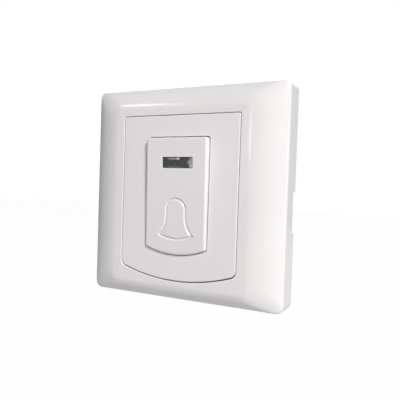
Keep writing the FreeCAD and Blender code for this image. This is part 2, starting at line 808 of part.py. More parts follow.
def bell_outline(sketch, offset):
    # Dome, straight flanks, flared mouth and curved foot; an offset gives a parallel outline
    middle = size.bell_shift
    dome_centre = -bell_dome_drop
    flare_start = dome_centre - size.bell_flank
    half = size.bell_dome_radius + offset
    flare_place = size.bell_dome_radius + size.bell_flare_radius
    flare = size.bell_flare_radius - offset
    foot_centre = size.bell_foot_radius - bell_foot_drop
    foot = size.bell_foot_radius + offset
    # The lip is where the flare's circle crosses the foot's circle
    across, along = value(flare_place), value(flare_start - foot_centre)
    apart = math.hypot(across, along)
    share = (value(foot) ** 2 - value(flare) ** 2 + apart ** 2) / (2 * apart)
    height = math.sqrt(value(foot) ** 2 - share ** 2)
    lip_across = (share * across + height * along) / apart
    lip_along = (share * along - height * across) / apart
    flare_turn = math.degrees(math.atan2(lip_along - along, lip_across - across)) % 360
    foot_turn = math.degrees(math.atan2(lip_along, lip_across)) % 360
    dome = add_arc(sketch, middle, dome_centre, half, 0, 180)
    left = add_arc(sketch, middle - flare_place, flare_start, flare, 540 - flare_turn, 360)
    bottom = add_arc(sketch, middle, foot_centre, foot, 540 - foot_turn, foot_turn)
    right = add_arc(sketch, middle + flare_place, flare_start, flare, 180, flare_turn)
    left_side = sketch.addGeometry(Part.LineSegment(
        vector(middle - half, dome_centre), vector(middle - half, flare_start)))
    right_side = sketch.addGeometry(Part.LineSegment(
        vector(middle + half, flare_start), vector(middle + half, dome_centre)))
    join(sketch, dome, LINE_END, left_side, LINE_START)
    join(sketch, left_side, LINE_END, left, LINE_END)
    join(sketch, left, LINE_START, bottom, LINE_START)
    join(sketch, bottom, LINE_END, right, LINE_END)
    join(sketch, right, LINE_START, right_side, LINE_START)
    join(sketch, right_side, LINE_END, dome, LINE_START)
    for arc, end in ((dome, LINE_START), (dome, LINE_END), (left, LINE_END), (right, LINE_START)):
        sketch.addConstraint(Sketcher.Constraint("Horizontal", arc, end, arc, CENTRE))


def bell_groove(sketch):
    bell_outline(sketch, size.groove_width / 2)
    bell_outline(sketch, -size.groove_width / 2)


def make_push_key():
    body = new_body("push_key")
    outline = (size.key_half_width, key_top, key_foot, size.key_foot_radius)
    pad(body, "Shell", FRONT, key_rear, key_front, curved_foot, *outline)
    fillet(body, "Corners", size.key_corner, runs_in_depth)
    fillet(body, "FaceEdge", size.key_edge_radius, lies_at(key_front))
    inner = tuple(amount - size.key_wall for amount in outline)
    cut(body, "Hollow", FRONT, key_rear, key_face_rear, curved_foot, *inner)
    pad(body, "Post", FRONT, post_end, key_face_rear + size.key_face / 2, circle,
        0, plunger_rise, size.post_radius)
    wall_middle = size.key_half_width - size.key_wall / 2
    pad(body, "CrossRib", FRONT, key_face_rear - size.rib_depth, key_face_rear + size.key_face / 2,
        rectangle, -wall_middle, wall_middle, plunger_rise - size.rib_thickness / 2,
        plunger_rise + size.rib_thickness / 2)
    for place, side in SIDES:
        # A lug behind the panel stops the key where it leans furthest out
        near, far = span(side, wall_middle, size.key_half_width + size.lug_reach)
        pad(body, "StopLug" + place.title(), FRONT, lug_front - size.lug_thickness, lug_front,
            rectangle, near, far, lug_top - size.lug_length, lug_top)
        near, far = span(side, wall_middle, size.key_half_width + size.trunnion_reach)
        pad(body, "Trunnion" + place.title(), SIDE, near, far, circle,
            -hinge_height, -hinge_drop, size.trunnion_radius)
    cut(body, "Window", FRONT, key_face_rear, key_front, rectangle, *window_rectangle(wall_plane))
    cut(body, "BellGroove", FRONT, key_front - size.groove_depth, key_front, bell_groove)
    tilt_with_key(body)
    return body


def make_indicator_lens():
    body = new_body("indicator_lens")
    pad(body, "Flange", FRONT, key_face_rear - size.lens_flange_thickness, key_face_rear,
        rectangle, *window_rectangle(size.lens_flange))
    pad(body, "Face", FRONT, key_face_rear - size.lens_flange_thickness / 2,
        key_front - size.lens_recess, rectangle, *window_rectangle(-size.slip_gap))
    tilt_with_key(body)
    return body


def make_plunger():
    body = new_body("plunger")
    rise = plunger_rise
    pad(body, "Stem", FRONT, collar_rear - size.stem_length, size.plunger_shoulder, circle,
        0, rise, size.stem_radius)
    pad(body, "Collar", FRONT, collar_rear, size.plunger_shoulder, circle,
        0, rise, size.collar_radius)
    pad(body, "Head", FRONT, size.plunger_shoulder, plunger_apex, circle,
        0, rise, size.plunger_radius)
    fillet(body, "Dome", size.plunger_dome, lies_at(plunger_apex))
    return body


def make_contact_bridge():
    body = new_body("contact_bridge")
    rise = plunger_rise
    half_length = contact_place + size.bridge_overhang
    pad(body, "Bar", FRONT, bridge_rear, bridge_front, rectangle, -half_length, half_length,
        rise - size.bridge_half_width, rise + size.bridge_half_width)
    pad(body, "Hub", FRONT, bridge_rear, bridge_front, circle, 0, rise, size.clip_radius)
    cut(body, "StemHole", FRONT, bridge_rear, bridge_front, circle,
        0, rise, size.stem_radius + size.slip_gap)
    for place, side in SIDES:
        cut(body, "RivetHole" + place.title(), FRONT, bridge_rear, bridge_front, circle,
            side * contact_place, rise, size.rivet_radius)
    return body


def make_retaining_clip():
    body = new_body("retaining_clip")
    pad(body, "Ring", FRONT, clip_rear, clip_front, circle, 0, plunger_rise, size.clip_radius)
    cut(body, "Bore", FRONT, clip_rear, clip_front, circle, 0, plunger_rise, size.stem_radius)
    cut(body, "Mouth", FRONT, clip_rear, clip_front, rectangle,
        -size.clip_mouth / 2, size.clip_mouth / 2, plunger_rise - size.clip_radius,
        plunger_rise)
    return body


def make_coil(label, low, high, turns):
    # The coil's axis is the body's own Y axis, and the body is raised to the plunger's
    body = new_body(label)
    sketch = new_sketch(body, "WireSection", SIDE, wall_plane)
    circle(sketch, -(high - size.coil_wire), size.coil_radius, size.coil_wire)
    helix = body.newObject("PartDesign::AdditiveHelix", "Coil")
    helix.Profile = sketch
    axis = [f for f in body.Origin.OriginFeatures if f.Role == "Y_Axis"][0]
    helix.ReferenceAxis = (axis, [""])
    helix.Mode = "height-turns-angle"
    bind(helix, "Height", high - low - 2 * size.coil_wire)
    bind(helix, "Turns", turns)
    bind(body, "Placement.Base.z", plunger_rise)
    return body


def make_terminal(place, side):
    body = new_body("terminal_" + place)
    pad(body, "Strip", FRONT, strip_rear, strip_front, terminal_outline, side)
    near, far = span(side, block_inner, block_outer)
    pad(body, "Block", FRONT, cover_front, strip_rear, rectangle, near, far,
        -size.block_foot, -size.block_head)
    across = side * wire_place
    cut(body, "WireBore", FRONT, cover_front, cover_front + size.wire_bore_depth, circle,
        across, -size.wire_drop, size.wire_bore_radius)
    cut(body, "ClampHole", UP, -size.block_foot, -size.wire_drop, circle,
        across, clamp_depth, size.screw_radius + size.slip_gap)
    cut(body, "RivetHole", FRONT, strip_rear, strip_front, circle,
        side * contact_place, plunger_rise, size.rivet_radius)
    return body


def make_lamp_holder():
    body = new_body("lamp_holder")
    rise = lamp_rise
    base_front = size.housing_front + size.holder_base
    pad(body, "Base", FRONT, size.housing_front, base_front, rounded_rectangle,
        -size.lamp_half_length - size.holder_margin, far_lead_place + size.holder_margin,
        rise - size.holder_half_height, rise + size.holder_half_height, size.holder_base)
    for place, side in SIDES:
        middle = side * size.saddle_place
        pad(body, "Saddle" + place.title(), SIDE, middle - size.saddle_thickness / 2,
            middle + size.saddle_thickness / 2, rectangle, -size.lamp_height,
            -(size.housing_front + size.holder_base / 2), rise - size.saddle_half_height,
            rise + size.saddle_half_height)
    reach = size.saddle_place + size.saddle_thickness
    cut(body, "LampSeat", SIDE, -reach, reach, circle, -size.lamp_height, rise,
        size.lamp_radius + size.slip_gap)
    for name, across, lead_rise in leads:
        cut(body, name + "LeadHole", FRONT, size.housing_front, base_front, circle,
            across, lead_rise, size.lead_radius + size.fit_gap)
    return body


def make_neon_lamp():
    body = new_body("neon_lamp")
    half = size.lamp_half_length
    centre = (-size.lamp_height, lamp_rise)
    pad(body, "Glass", SIDE, -half, half, circle, *centre, size.lamp_radius)
    doc.recompute()
    fillet(body, "RoundEnd", size.lamp_radius - size.lamp_wall,
           lambda edge: edge.BoundBox.XMax < -value(half) + 1e-4)
    fillet(body, "SealEnd", size.lamp_wall,
           lambda edge: edge.BoundBox.XMin > value(half) - 1e-4)
    cut(body, "Inside", SIDE, -half + size.lamp_radius / 2, half - size.lamp_seal, circle,
        *centre, size.lamp_radius - size.lamp_wall)
    for name, across, rise in leads:
        cut(body, name + "Seal", SIDE, half - size.lamp_seal, half, circle,
            -size.lamp_height, rise, size.lead_radius)
    return body


def make_lead(label, rise, *corners):
    # A bare wire bent in one level plane
    body = new_body(label)
    path = new_sketch(body, "Path", UP, rise)
    for index, corner in enumerate(corners[:-1]):
        path.addGeometry(Part.LineSegment(vector(*corner), vector(*corners[index + 1])))
        pin_point(path, index, LINE_START, *corner)
        if index:
            join(path, index - 1, LINE_END, index, LINE_START)
    pin_point(path, len(corners) - 2, LINE_END, *corners[-1])
    start = corners[0]
    if value(start[1]) == value(corners[1][1]):
        section = new_sketch(body, "Section", SIDE, start[0])
        circle(section, start[1], rise, size.lead_radius)
    else:
        section = new_sketch(body, "Section", FRONT, -start[1])
        circle(section, start[0], rise, size.lead_radius)
    pipe = body.newObject("PartDesign::AdditivePipe", "Wire")
    pipe.Profile = section
    pipe.Spine = (path, ["Edge%d" % number for number in range(1, len(corners))])
    pipe.Transition = "Round corner"
    return body


# Small turned pieces, from cylinders

X_AXIS = FreeCAD.Vector(1, 0, 0)
Y_AXIS = FreeCAD.Vector(0, 1, 0)
# Each way that a turned piece can face: the turn from +Z, and its direction
FACING = {
    "front": (FreeCAD.Rotation(X_AXIS, 90), (0, -1, 0)),
    "wall": (FreeCAD.Rotation(X_AXIS, -90), (0, 1, 0)),
    "down": (FreeCAD.Rotation(X_AXIS, 180), (0, 0, -1)),
    "right": (FreeCAD.Rotation(Y_AXIS, 90), (1, 0, 0)),
}


def place_at(thing, facing, x, y, z):
    thing.Placement = FreeCAD.Placement(
        FreeCAD.Vector(value(x), value(y), value(z)), FACING[facing][0])
    bind(thing, "Placement.Base.x", x)
    bind(thing, "Placement.Base.y", y)
    bind(thing, "Placement.Base.z", z)


def cylinder(name, facing, x, y, z, radius, length):
    thing = doc.addObject("Part::Cylinder", name)
    bind(thing, "Radius", radius)
    bind(thing, "Height", length)
    place_at(thing, facing, x, y, z)
    return thing


def joined_shape(kind, name, *things):
    thing = doc.addObject(kind, name)
    if kind == "Part::Cut":
        thing.Base, thing.Tool = things
    elif kind == "Part::Compound":
        thing.Links = list(things)
    else:
        thing.Shapes = list(things)
    return thing


def as_piece(thing, label):
    thing.Label = label
    pieces.append(thing)
    return thing


def screw(name, facing, x, y, z, head_radius, head_height, shank_length):
    # The seat under the head is at x, y, z and the head points the way it faces
    along = FACING[facing][1]
    head = cylinder(name + "Head", facing, x, y, z, head_radius, head_height)
    rear = [place - step * shank_length for place, step in zip((x, y, z), along)]
    shank = cylinder(name + "Shank", facing, *rear, size.screw_radius, shank_length)
    slot = doc.addObject("Part::Box", name + "Slot")
    bind(slot, "Length", 2 * head_radius)
    bind(slot, "Width", size.driver_slot)
    bind(slot, "Height", head_height)
    # The slot lies across the middle of the head and goes half way into it
    corner = {"x": x - head_radius, "y": y, "z": z}
    if along[1]:
        corner["y"] = y + along[1] * head_height / 2
        corner["z"] = z + along[1] * size.driver_slot / 2
    else:
        corner["z"] = z + along[2] * head_height / 2
        corner["y"] = y + size.driver_slot / 2
    place_at(slot, facing, corner["x"], corner["y"], corner["z"])
    whole = joined_shape("Part::MultiFuse", name + "Blank", head, shank)
    return joined_shape("Part::Cut", name, whole, slot)


def rivet(name, facing, x, height, z, length):
    # A contact: its head stands on the strip or bar at this height and its shank fills the hole
    depth = -height
    toward = FACING[facing][1][1]
    head = cylinder(name + "Head", facing, x, depth, z, size.contact_radius, size.contact_height)
    shank = cylinder(name + "Shank", facing, x, depth - toward * length, z, size.rivet_radius, length)
    return joined_shape("Part::MultiFuse", name, head, shank)


def make_small_pieces():
    rise = plunger_rise
    moving = []
    for place, side in SIDES:
        across = side * contact_place
        as_piece(rivet("FixedContact" + place.title(), "front", across, strip_front, rise,
                       size.strip_thickness), "fixed_contact_" + place)
        moving.append(rivet("BridgeContact" + place.title(), "wall", across, bridge_rear, rise,
                            size.bridge_thickness))
        seat = -size.block_foot - size.clamp_open
        clamp_reach = size.block_foot + size.clamp_open - size.wire_drop - size.wire_bore_radius
        as_piece(screw("ClampScrew" + place.title(), "down", side * wire_place, clamp_depth,
                       seat, size.clamp_head_radius, size.clamp_head_height,
                       clamp_reach - size.slip_gap), "clamp_screw_" + place)
    as_piece(joined_shape("Part::Compound", "BridgeContacts", *moving), "bridge_contacts")
    flange_screws = []
    cover_screws = []
    for place, side in SIDES:
        for end, direction in ENDS:
            flange_screws.append(screw(
                "HousingScrew" + place.title() + end, "front",
                side * housing_screw_across, -flange_front, direction * housing_screw_along,
                size.screw_head_radius, size.screw_head_height,
                flange_front - size.rest_gap))
        cover_screws.append(screw(
            "CoverScrew" + place.title(), "wall", wall_plane, -cover_rear,
            side * cover_screw_place, size.screw_head_radius, size.screw_head_height,
            size.cover_thickness + size.cover_screw_grip - size.rest_gap))
    as_piece(joined_shape("Part::Compound", "HousingScrews", *flange_screws), "housing_screws")
    as_piece(joined_shape("Part::Compound", "CoverScrews", *cover_screws), "cover_screws")
    rods = [cylinder("Electrode" + name, "right", -size.electrode_reach, -size.lamp_height, lead_rise,
                     size.lead_radius, size.electrode_reach + size.lamp_half_length)
            for name, across, lead_rise in leads]
    as_piece(joined_shape("Part::Compound", "LampElectrodes", *rods), "lamp_electrodes")
    as_piece(cylinder("Resistor", "wall", far_lead_place, -size.resistor_front, far_rise,
                      size.resistor_radius, size.resistor_length), "ballast_resistor")


make_face_frame()
make_insert_panel()
make_base_plate()
make_mechanism_housing()
make_rear_cover()
make_push_key()
make_indicator_lens()
make_plunger()
make_contact_bridge()
make_retaining_clip()
make_coil("return_spring", cover_front + size.spring_seat_height + size.slip_gap,
          clip_rear - size.slip_gap, size.return_turns)
make_coil("contact_spring", bridge_front + size.slip_gap, collar_rear - size.slip_gap,
          size.contact_turns)
for place, side in SIDES:
    make_terminal(place, side)
make_lamp_holder()
make_neon_lamp()
make_lead("lamp_lead_left", near_rise,
          (size.lamp_half_length, -size.lamp_height), (near_lead_place, -size.lamp_height),
          (near_lead_place, -size.lead_run_height), (-contact_place, -size.lead_run_height),
          (-contact_place, -strip_front))
make_lead("lamp_lead_right", far_rise,
          (size.lamp_half_length, -size.lamp_height), (far_lead_place, -size.lamp_height),
          (far_lead_place, -size.resistor_front))
make_lead("resistor_lead", far_rise,
          (far_lead_place, resistor_end), (far_lead_place, (resistor_end - strip_front) / 2),
          (contact_place, (resistor_end - strip_front) / 2), (contact_place, -strip_front))
make_small_pieces()
doc.recompute()

faults = [thing.Name for thing in doc.Objects if "Invalid" in thing.State or "Error" in thing.State]
for piece in pieces:
    if piece.Shape.isNull() or not piece.Shape.isValid():
        faults.append(piece.Label)
if faults:
    raise SystemExit("Not built: " + ", ".join(faults))

os.makedirs("parts", exist_ok=True)
for piece in pieces:
    piece.Shape.exportStep("parts/%s.step" % piece.Label)
    print(piece.Label, len(piece.Shape.Solids), "solid,", round(piece.Shape.Volume, 2), "mm3")
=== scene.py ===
import math
import bmesh
import bpy
from mathutils import Matrix, Vector
from mathutils.geometry import delaunay_2d_cdt


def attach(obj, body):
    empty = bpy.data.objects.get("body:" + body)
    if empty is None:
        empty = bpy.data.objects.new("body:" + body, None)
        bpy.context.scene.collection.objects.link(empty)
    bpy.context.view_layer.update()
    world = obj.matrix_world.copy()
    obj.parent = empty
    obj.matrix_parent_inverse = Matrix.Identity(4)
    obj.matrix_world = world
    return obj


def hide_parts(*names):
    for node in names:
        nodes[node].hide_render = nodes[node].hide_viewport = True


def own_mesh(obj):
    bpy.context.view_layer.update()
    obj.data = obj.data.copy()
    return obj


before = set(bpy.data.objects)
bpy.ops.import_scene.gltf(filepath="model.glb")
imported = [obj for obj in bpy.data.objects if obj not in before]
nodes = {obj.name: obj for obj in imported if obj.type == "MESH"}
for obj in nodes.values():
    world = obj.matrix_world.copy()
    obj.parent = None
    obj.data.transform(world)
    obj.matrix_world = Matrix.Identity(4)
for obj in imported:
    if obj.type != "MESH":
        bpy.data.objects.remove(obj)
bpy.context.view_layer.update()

# Lengths in the dictionaries are millimetres; x runs right, y into the wall, z up.
mm = 0.001
plateBody, keyBody, plungerBody = "plate_assembly", "key_lever", "plunger_stack"


# Node trees: a socket that does sums, and one way to add a node

class Wire:
    def __init__(self, graph, socket):
        self.graph = graph
        self.socket = socket

    def maths(self, operation, *others):
        return self.graph.add("ShaderNodeMath", {"operation": operation}, dict(enumerate((self,) + others)))

    def __add__(self, other):
        return self.maths("ADD", other)

    def __sub__(self, other):
        return self.maths("SUBTRACT", other)

    def __rsub__(self, other):
        return self.graph.add("ShaderNodeMath", {"operation": "SUBTRACT"}, {0: other, 1: self})

    def __mul__(self, other):
        return self.maths("MULTIPLY", other)

    def __truediv__(self, other):
        return self.maths("DIVIDE", other)

    def __rtruediv__(self, other):
        return self.graph.add("ShaderNodeMath", {"operation": "DIVIDE"}, {0: other, 1: self})

    def __neg__(self):
        return self.maths("MULTIPLY", -1.0)

    def __pow__(self, other):
        return self.maths("POWER", other)

    def __lt__(self, other):
        return self.maths("LESS_THAN", other)

    def __gt__(self, other):
        return self.maths("GREATER_THAN", other)

    __radd__ = __add__
    __rmul__ = __mul__


class Graph:
    def __init__(self, tree):
        self.tree = tree
        tree.nodes.clear()

    def add(self, kind, settings, inputs, out=0):
        node = self.tree.nodes.new(kind)
        for name, setting in settings.items():
            if name == "stops":
                ramp = node.color_ramp.elements
                while len(ramp) < len(setting):
                    ramp.new(0.5)
                for element, (place, colour) in zip(ramp, setting):
                    element.position = place
                    element.color = colour
            else:
                setattr(node, name, setting)
        for name, item in inputs.items():
            if isinstance(item, Wire):
                self.tree.links.new(item.socket, node.inputs[name])
            else:
                node.inputs[name].default_value = item
        return Wire(self, node.outputs[out]) if len(node.outputs) else node

    def vector(self, x, y, z):
        return self.add("ShaderNodeCombineXYZ", {}, {0: x, 1: y, 2: z})

    def blend(self, factor, first, second):       # mixes two colours
        return self.add("ShaderNodeMix", {"data_type": "RGBA"}, {0: factor, 6: first, 7: second}, 2)


class Shaper(Graph):                              # a geometry tree whose named inputs match a set of values
    kinds = {float: "NodeSocketFloat", int: "NodeSocketInt", type(None): "NodeSocketObject"}

    def __init__(self, name, values):
        super().__init__(bpy.data.node_groups.new(name, "GeometryNodeTree"))
        face = self.tree.interface
        face.new_socket("geometry", in_out="OUTPUT", socket_type="NodeSocketGeometry")
        for label, value in values.items():
            face.new_socket(label, in_out="INPUT", socket_type=self.kinds[type(value)])
        face.new_socket("finish", in_out="INPUT", socket_type="NodeSocketMaterial")
        self.entry = self.tree.nodes.new("NodeGroupInput")

    def take(self, label):
        return Wire(self, self.entry.outputs[label])

    def close(self, geometry):                    # instances become mesh, and take their finish
        real = self.add("GeometryNodeRealizeInstances", {}, {0: geometry})
        finish = self.take("finish")
        coloured = self.add("GeometryNodeSetMaterial", {}, {"Geometry": real, "Material": finish})
        self.add("NodeGroupOutput", {}, {0: coloured})

    def grow(self, name, values, finish):         # runs the tree and keeps its mesh
        holder = bpy.data.objects.new(name, bpy.data.meshes.new(name))
        bpy.context.scene.collection.objects.link(holder)
        modifier = holder.modifiers.new("Shape", "NODES")
        modifier.node_group = self.tree
        chosen = dict(values, finish=finish)
        for item in self.tree.interface.items_tree:
            if item.item_type == "SOCKET" and item.in_out == "INPUT":
                modifier[item.identifier] = chosen[item.name]
        view = bpy.context.evaluated_depsgraph_get()
        made = bpy.data.meshes.new_from_object(holder.evaluated_get(view))
        holder.modifiers.remove(modifier)
        holder.data = made
        return holder


# Finishes

def newFinish(name):
    finish = bpy.data.materials.new(name)
    finish.use_nodes = True
    return finish, Graph(finish.node_tree)


def objectNoise(graph, scale, detail=2.0, roughness=0.5, distortion=0.0):
    place = graph.add("ShaderNodeTexCoord", {}, {}, "Object")
    return graph.add("ShaderNodeTexNoise", {}, {"Vector": place, "Scale": scale, "Detail": detail,
                                                "Roughness": roughness, "Distortion": distortion})


def relief(graph, look, height):
    return graph.add("ShaderNodeBump", {}, {"Strength": look["bump"], "Distance": look["relief"],
                                            "Height": height})


def principled(graph, sockets):
    shader = graph.add("ShaderNodeBsdfPrincipled", {}, sockets)
    graph.add("ShaderNodeOutputMaterial", {}, {"Surface": shader})
    return shader


def mouldedPlastic(name, look):
    # Fine moulded texture, cloudy gloss and faint handling marks
    finish, graph = newFinish(name)
    cloud = objectNoise(graph, look["cloudScale"], 3.0)
    grain = objectNoise(graph, look["grainScale"], 3.0, 0.6)
    marks = objectNoise(graph, look["markScale"], 5.0, 0.65, 1.5)
    stops = [(look["shadeStop"], look["shade"]), (look["colourStop"], look["colour"])]
    tone = graph.add("ShaderNodeValToRGB", {"stops": stops}, {0: cloud})
    rub = graph.add("ShaderNodeMapRange", {}, {0: marks, 1: look["marksFrom"], 2: look["marksTo"], 3: 0.0,
                                               4: look["markDepth"]})
    bump = relief(graph, look, grain * look["grainDepth"] + cloud * look["waveDepth"])
    principled(graph, {"Base Color": tone, "Roughness": rub + look["roughness"], "IOR": look["ior"],
                       "Normal": bump})
    return finish


plasticLook = {"colour": (0.86, 0.85, 0.845, 1), "shade": (0.84, 0.83, 0.825, 1), "colourStop": 0.75,
               "shadeStop": 0.25, "roughness": 0.16, "markDepth": 0.03, "marksFrom": 0.52, "marksTo": 0.72,
               "cloudScale": 45.0, "grainScale": 3200.0, "markScale": 60.0, "grainDepth": 0.35,
               "waveDepth": 0.8, "bump": 0.06, "relief": 0.0002, "ior": 1.5}
whitePlastic = mouldedPlastic("whitePlastic", plasticLook)
keyPlastic = mouldedPlastic("keyPlastic", dict(plasticLook, colour=(0.85, 0.835, 0.84, 1),
                                               shade=(0.83, 0.815, 0.82, 1), roughness=0.2))
basePlastic = mouldedPlastic("basePlastic", dict(plasticLook, colour=(0.74, 0.74, 0.72, 1),
                                                 shade=(0.7, 0.7, 0.68, 1), roughness=0.42,
                                                 grainScale=1500.0, bump=0.25, markDepth=0.14))
housingPlastic = mouldedPlastic("housingPlastic", dict(plasticLook, colour=(0.7, 0.7, 0.68, 1),
                                                       shade=(0.66, 0.66, 0.64, 1), roughness=0.46,
                                                       grainScale=1300.0, bump=0.3, markDepth=0.14))
plungerPlastic = mouldedPlastic("plungerPlastic", dict(plasticLook, colour=(0.82, 0.8, 0.74, 1),
                                                       shade=(0.79, 0.77, 0.71, 1), roughness=0.33))
resistorCoat = mouldedPlastic("resistorCoat", dict(plasticLook, colour=(0.52, 0.36, 0.2, 1),
                                                   shade=(0.46, 0.3, 0.16, 1), roughness=0.35))


def workedMetal(name, look):
    # Drawn or stamped metal: fine lines along one axis, dull spots
    finish, graph = newFinish(name)
    place = graph.add("ShaderNodeTexCoord", {}, {}, "Object")
    drawn = graph.add("ShaderNodeMapping", {}, {"Vector": place, "Scale": look["lines"]})
    lines = graph.add("ShaderNodeTexNoise", {}, {"Vector": drawn, "Scale": look["lineScale"], "Detail": 4.0})
    spots = objectNoise(graph, look["spotScale"], 4.0, 0.6, 0.6)
    stops = [(look["dullStop"], look["dull"]), (look["colourStop"], look["colour"])]
    tone = graph.add("ShaderNodeValToRGB", {"stops": stops}, {0: spots})
    rough = lines * look["lineRoughness"] + spots * look["spotRoughness"] + look["roughness"]
    principled(graph, {"Base Color": tone, "Metallic": 1.0, "Roughness": rough,
                       "Normal": relief(graph, look, lines)})
    return finish


metalLook = {"colour": (0.62, 0.62, 0.62, 1), "dull": (0.5, 0.5, 0.5, 1), "colourStop": 0.65,
             "dullStop": 0.35, "lines": (1.0, 8.0, 8.0), "lineScale": 900.0, "spotScale": 350.0,
             "roughness": 0.16, "lineRoughness": 0.16, "spotRoughness": 0.12, "bump": 0.12, "relief": 0.0001}
springSteel = workedMetal("springSteel", dict(metalLook, lines=(6.0, 6.0, 6.0), roughness=0.12))
platedSteel = workedMetal("platedSteel", dict(metalLook, colour=(0.68, 0.67, 0.63, 1)))
stampedBrass = workedMetal("stampedBrass", dict(metalLook, colour=(0.78, 0.55, 0.22, 1),
                                                dull=(0.6, 0.4, 0.16, 1)))
silverFace = workedMetal("silverFace", dict(metalLook, colour=(0.86, 0.85, 0.82, 1),
                                            dull=(0.7, 0.68, 0.64, 1)))
tinnedWire = workedMetal("tinnedWire", dict(metalLook, colour=(0.72, 0.71, 0.69, 1), roughness=0.2))


def smokedLensFinish():
    # Tinted clear plastic, greener to the left. Milky patches paint its highlights and reflections of light;
    # each painted patch is (x, z, half width, half height, strength).
    look = {"left": (0.12, 0.26, 0.25, 1), "right": (0.26, 0.22, 0.26, 1), "middle": 0.0, "spread": 5.0,
            "tintStart": 0.35, "tintCloud": 0.3, "paintedGlint": (0.66, 0.65, 0.67, 1), "paintedGlintRoughness": 0.25,
            "paintedGlintCloud": 0.02, "cloudScale": 500.0, "roughness": 0.03, "cloudRoughness": 0.05,
            "clearness": 0.92, "ior": 1.49, "bump": 0.05, "relief": 0.0001,
            "glintPatches": [(8.0, 12.2, 2.6, 6.0, 0.7), (5.6, 12.3, 0.9, 1.0, 0.3), (6.8, 10.8, 0.9, 0.8, 0.5),
                        (-1.4, 13.7, 3.2, 0.6, 0.42), (0.9, 13.75, 0.75, 0.6, 1.6),
                        (-1.0, 10.5, 4.6, 0.4, 0.14)]}
    finish, graph = newFinish("smokedLens")
    place = graph.add("ShaderNodeTexCoord", {}, {}, "Object")
    across, up = (graph.add("ShaderNodeSeparateXYZ", {}, {0: place}, axis) * (1 / mm) for axis in ("X", "Z"))
    cloud = objectNoise(graph, look["cloudScale"])
    share = (across - look["middle"]) / look["spread"] + cloud * look["tintCloud"] + look["tintStart"]
    tint = graph.blend(share, look["left"], look["right"])
    # Painted highlights and reflections: milky white patches laid over the lens
    paintedGlint = cloud * look["paintedGlintCloud"]
    for x, z, wide, high, strength in look["glintPatches"]:
        falling = ((across - x) / wide) ** 2.0 + ((up - z) / high) ** 2.0
        paintedGlint = paintedGlint + (1 - falling).maths("MAXIMUM", 0.0) * strength
    clear = graph.add("ShaderNodeBsdfPrincipled", {}, {
        "Base Color": tint, "Roughness": cloud * look["cloudRoughness"] + look["roughness"],
        "IOR": look["ior"], "Transmission Weight": look["clearness"], "Normal": relief(graph, look, cloud)})
    # the milky white of the painted highlights and reflections
    paintedGlintShader = graph.add("ShaderNodeBsdfPrincipled", {}, {"Base Color": look["paintedGlint"],
                                                       "Roughness": look["paintedGlintRoughness"]})
    mixed = graph.add("ShaderNodeMixShader", {}, {0: paintedGlint.maths("MINIMUM", 1.0), 1: clear, 2: paintedGlintShader})
    graph.add("ShaderNodeOutputMaterial", {}, {"Surface": mixed})
    return finish


smokedLens = smokedLensFinish()


def lampGlassFinish():
    look = {"clear": (0.92, 0.95, 0.95, 1), "hazy": (0.86, 0.9, 0.9, 1), "hazeScale": 700.0,
            "roughness": 0.02, "hazeRoughness": 0.06, "clearness": 0.85, "ior": 1.5}
    finish, graph = newFinish("lampGlass")
    haze = objectNoise(graph, look["hazeScale"], 3.0)
    tone = graph.blend(haze, look["clear"], look["hazy"])
    principled(graph, {"Base Color": tone, "Roughness": haze * look["hazeRoughness"] + look["roughness"],
                       "IOR": look["ior"], "Transmission Weight": look["clearness"]})
    return finish


lampGlass = lampGlassFinish()
print("finishes made")


# Mesh helpers

def toPoint(across, height, up):                  # height is how far a point stands in front of the wall
    return Vector((across * mm, -height * mm, up * mm))


def outline(half, top, foot, corner, footCorner, footRadius, cornerSteps, footSteps=40):
    # Plate outline from the right side over the top and round, closed by a copy of its first point.
    # The foot is an arc that hangs down in the middle.
    points = []
    for turn, x, z in ((0, half - corner, top - corner), (90, corner - half, top - corner)):
        for step in range(cornerSteps + 1):
            angle = math.radians(turn + 90 * step / cornerSteps)
            points.append((x + corner * math.cos(angle), z + corner * math.sin(angle)))
    side = half - footCorner
    centre = footRadius - foot
    level = centre - math.sqrt((footRadius - footCorner) ** 2 - side ** 2)
    lean = math.atan2(centre - level, side)
    left = []
    for step in range(cornerSteps + 1):
        angle = math.pi + lean * step / cornerSteps
        left.append((-side + footCorner * math.cos(angle), level + footCorner * math.sin(angle)))
    floor = []
    for step in range(1, footSteps + 1):
        angle = math.pi + lean + (math.pi - 2 * lean) * step / (footSteps + 1)
        floor.append((footRadius * math.cos(angle), centre + footRadius * math.sin(angle)))
    points += left + floor + [(-x, z) for x, z in reversed(left)]
    return points + points[:1]


def ring(mesh, points, height):                   # one loop of vertices at one height
    return [mesh.verts.new(toPoint(x, height, z)) for x, z in points]


def around(middle, half):                         # both ends of a stretch
    return middle - half, middle + half


def onSide(side, near, far):                      # a stretch on the right or, mirrored, on the left
    return sorted((side * near, side * far))


def markEdges(mesh, loop, weight):                # their share of the bevel's width
    layers = mesh.edges.layers.float
    layer = layers.get("bevel_weight_edge") or layers.new("bevel_weight_edge")
    for start, end in zip(loop, loop[1:]):
        edge = mesh.edges.get((start, end))
        if edge:
            edge[layer] = weight


def skin(mesh, rings, weights=()):
    # Quads between neighbouring loops; a weight marks a loop's edges for the bevel
    for first, second in zip(rings, rings[1:]):
        for index in range(len(first) - 1):
            mesh.faces.new((first[index], first[index + 1], second[index + 1], second[index]))
    for loop, weight in zip(rings, weights):
        if weight:
            markEdges(mesh, loop, weight)


def roundEdge(mesh, shape, edge, front, steps):   # loops round a quarter circle, from the side to the face
    loops = []
    for step in range(steps + 1):
        angle = math.radians(90 * step / steps)
        loops.append(ring(mesh, shape(edge * (math.cos(angle) - 1)), front - edge * (1 - math.sin(angle))))
    return loops


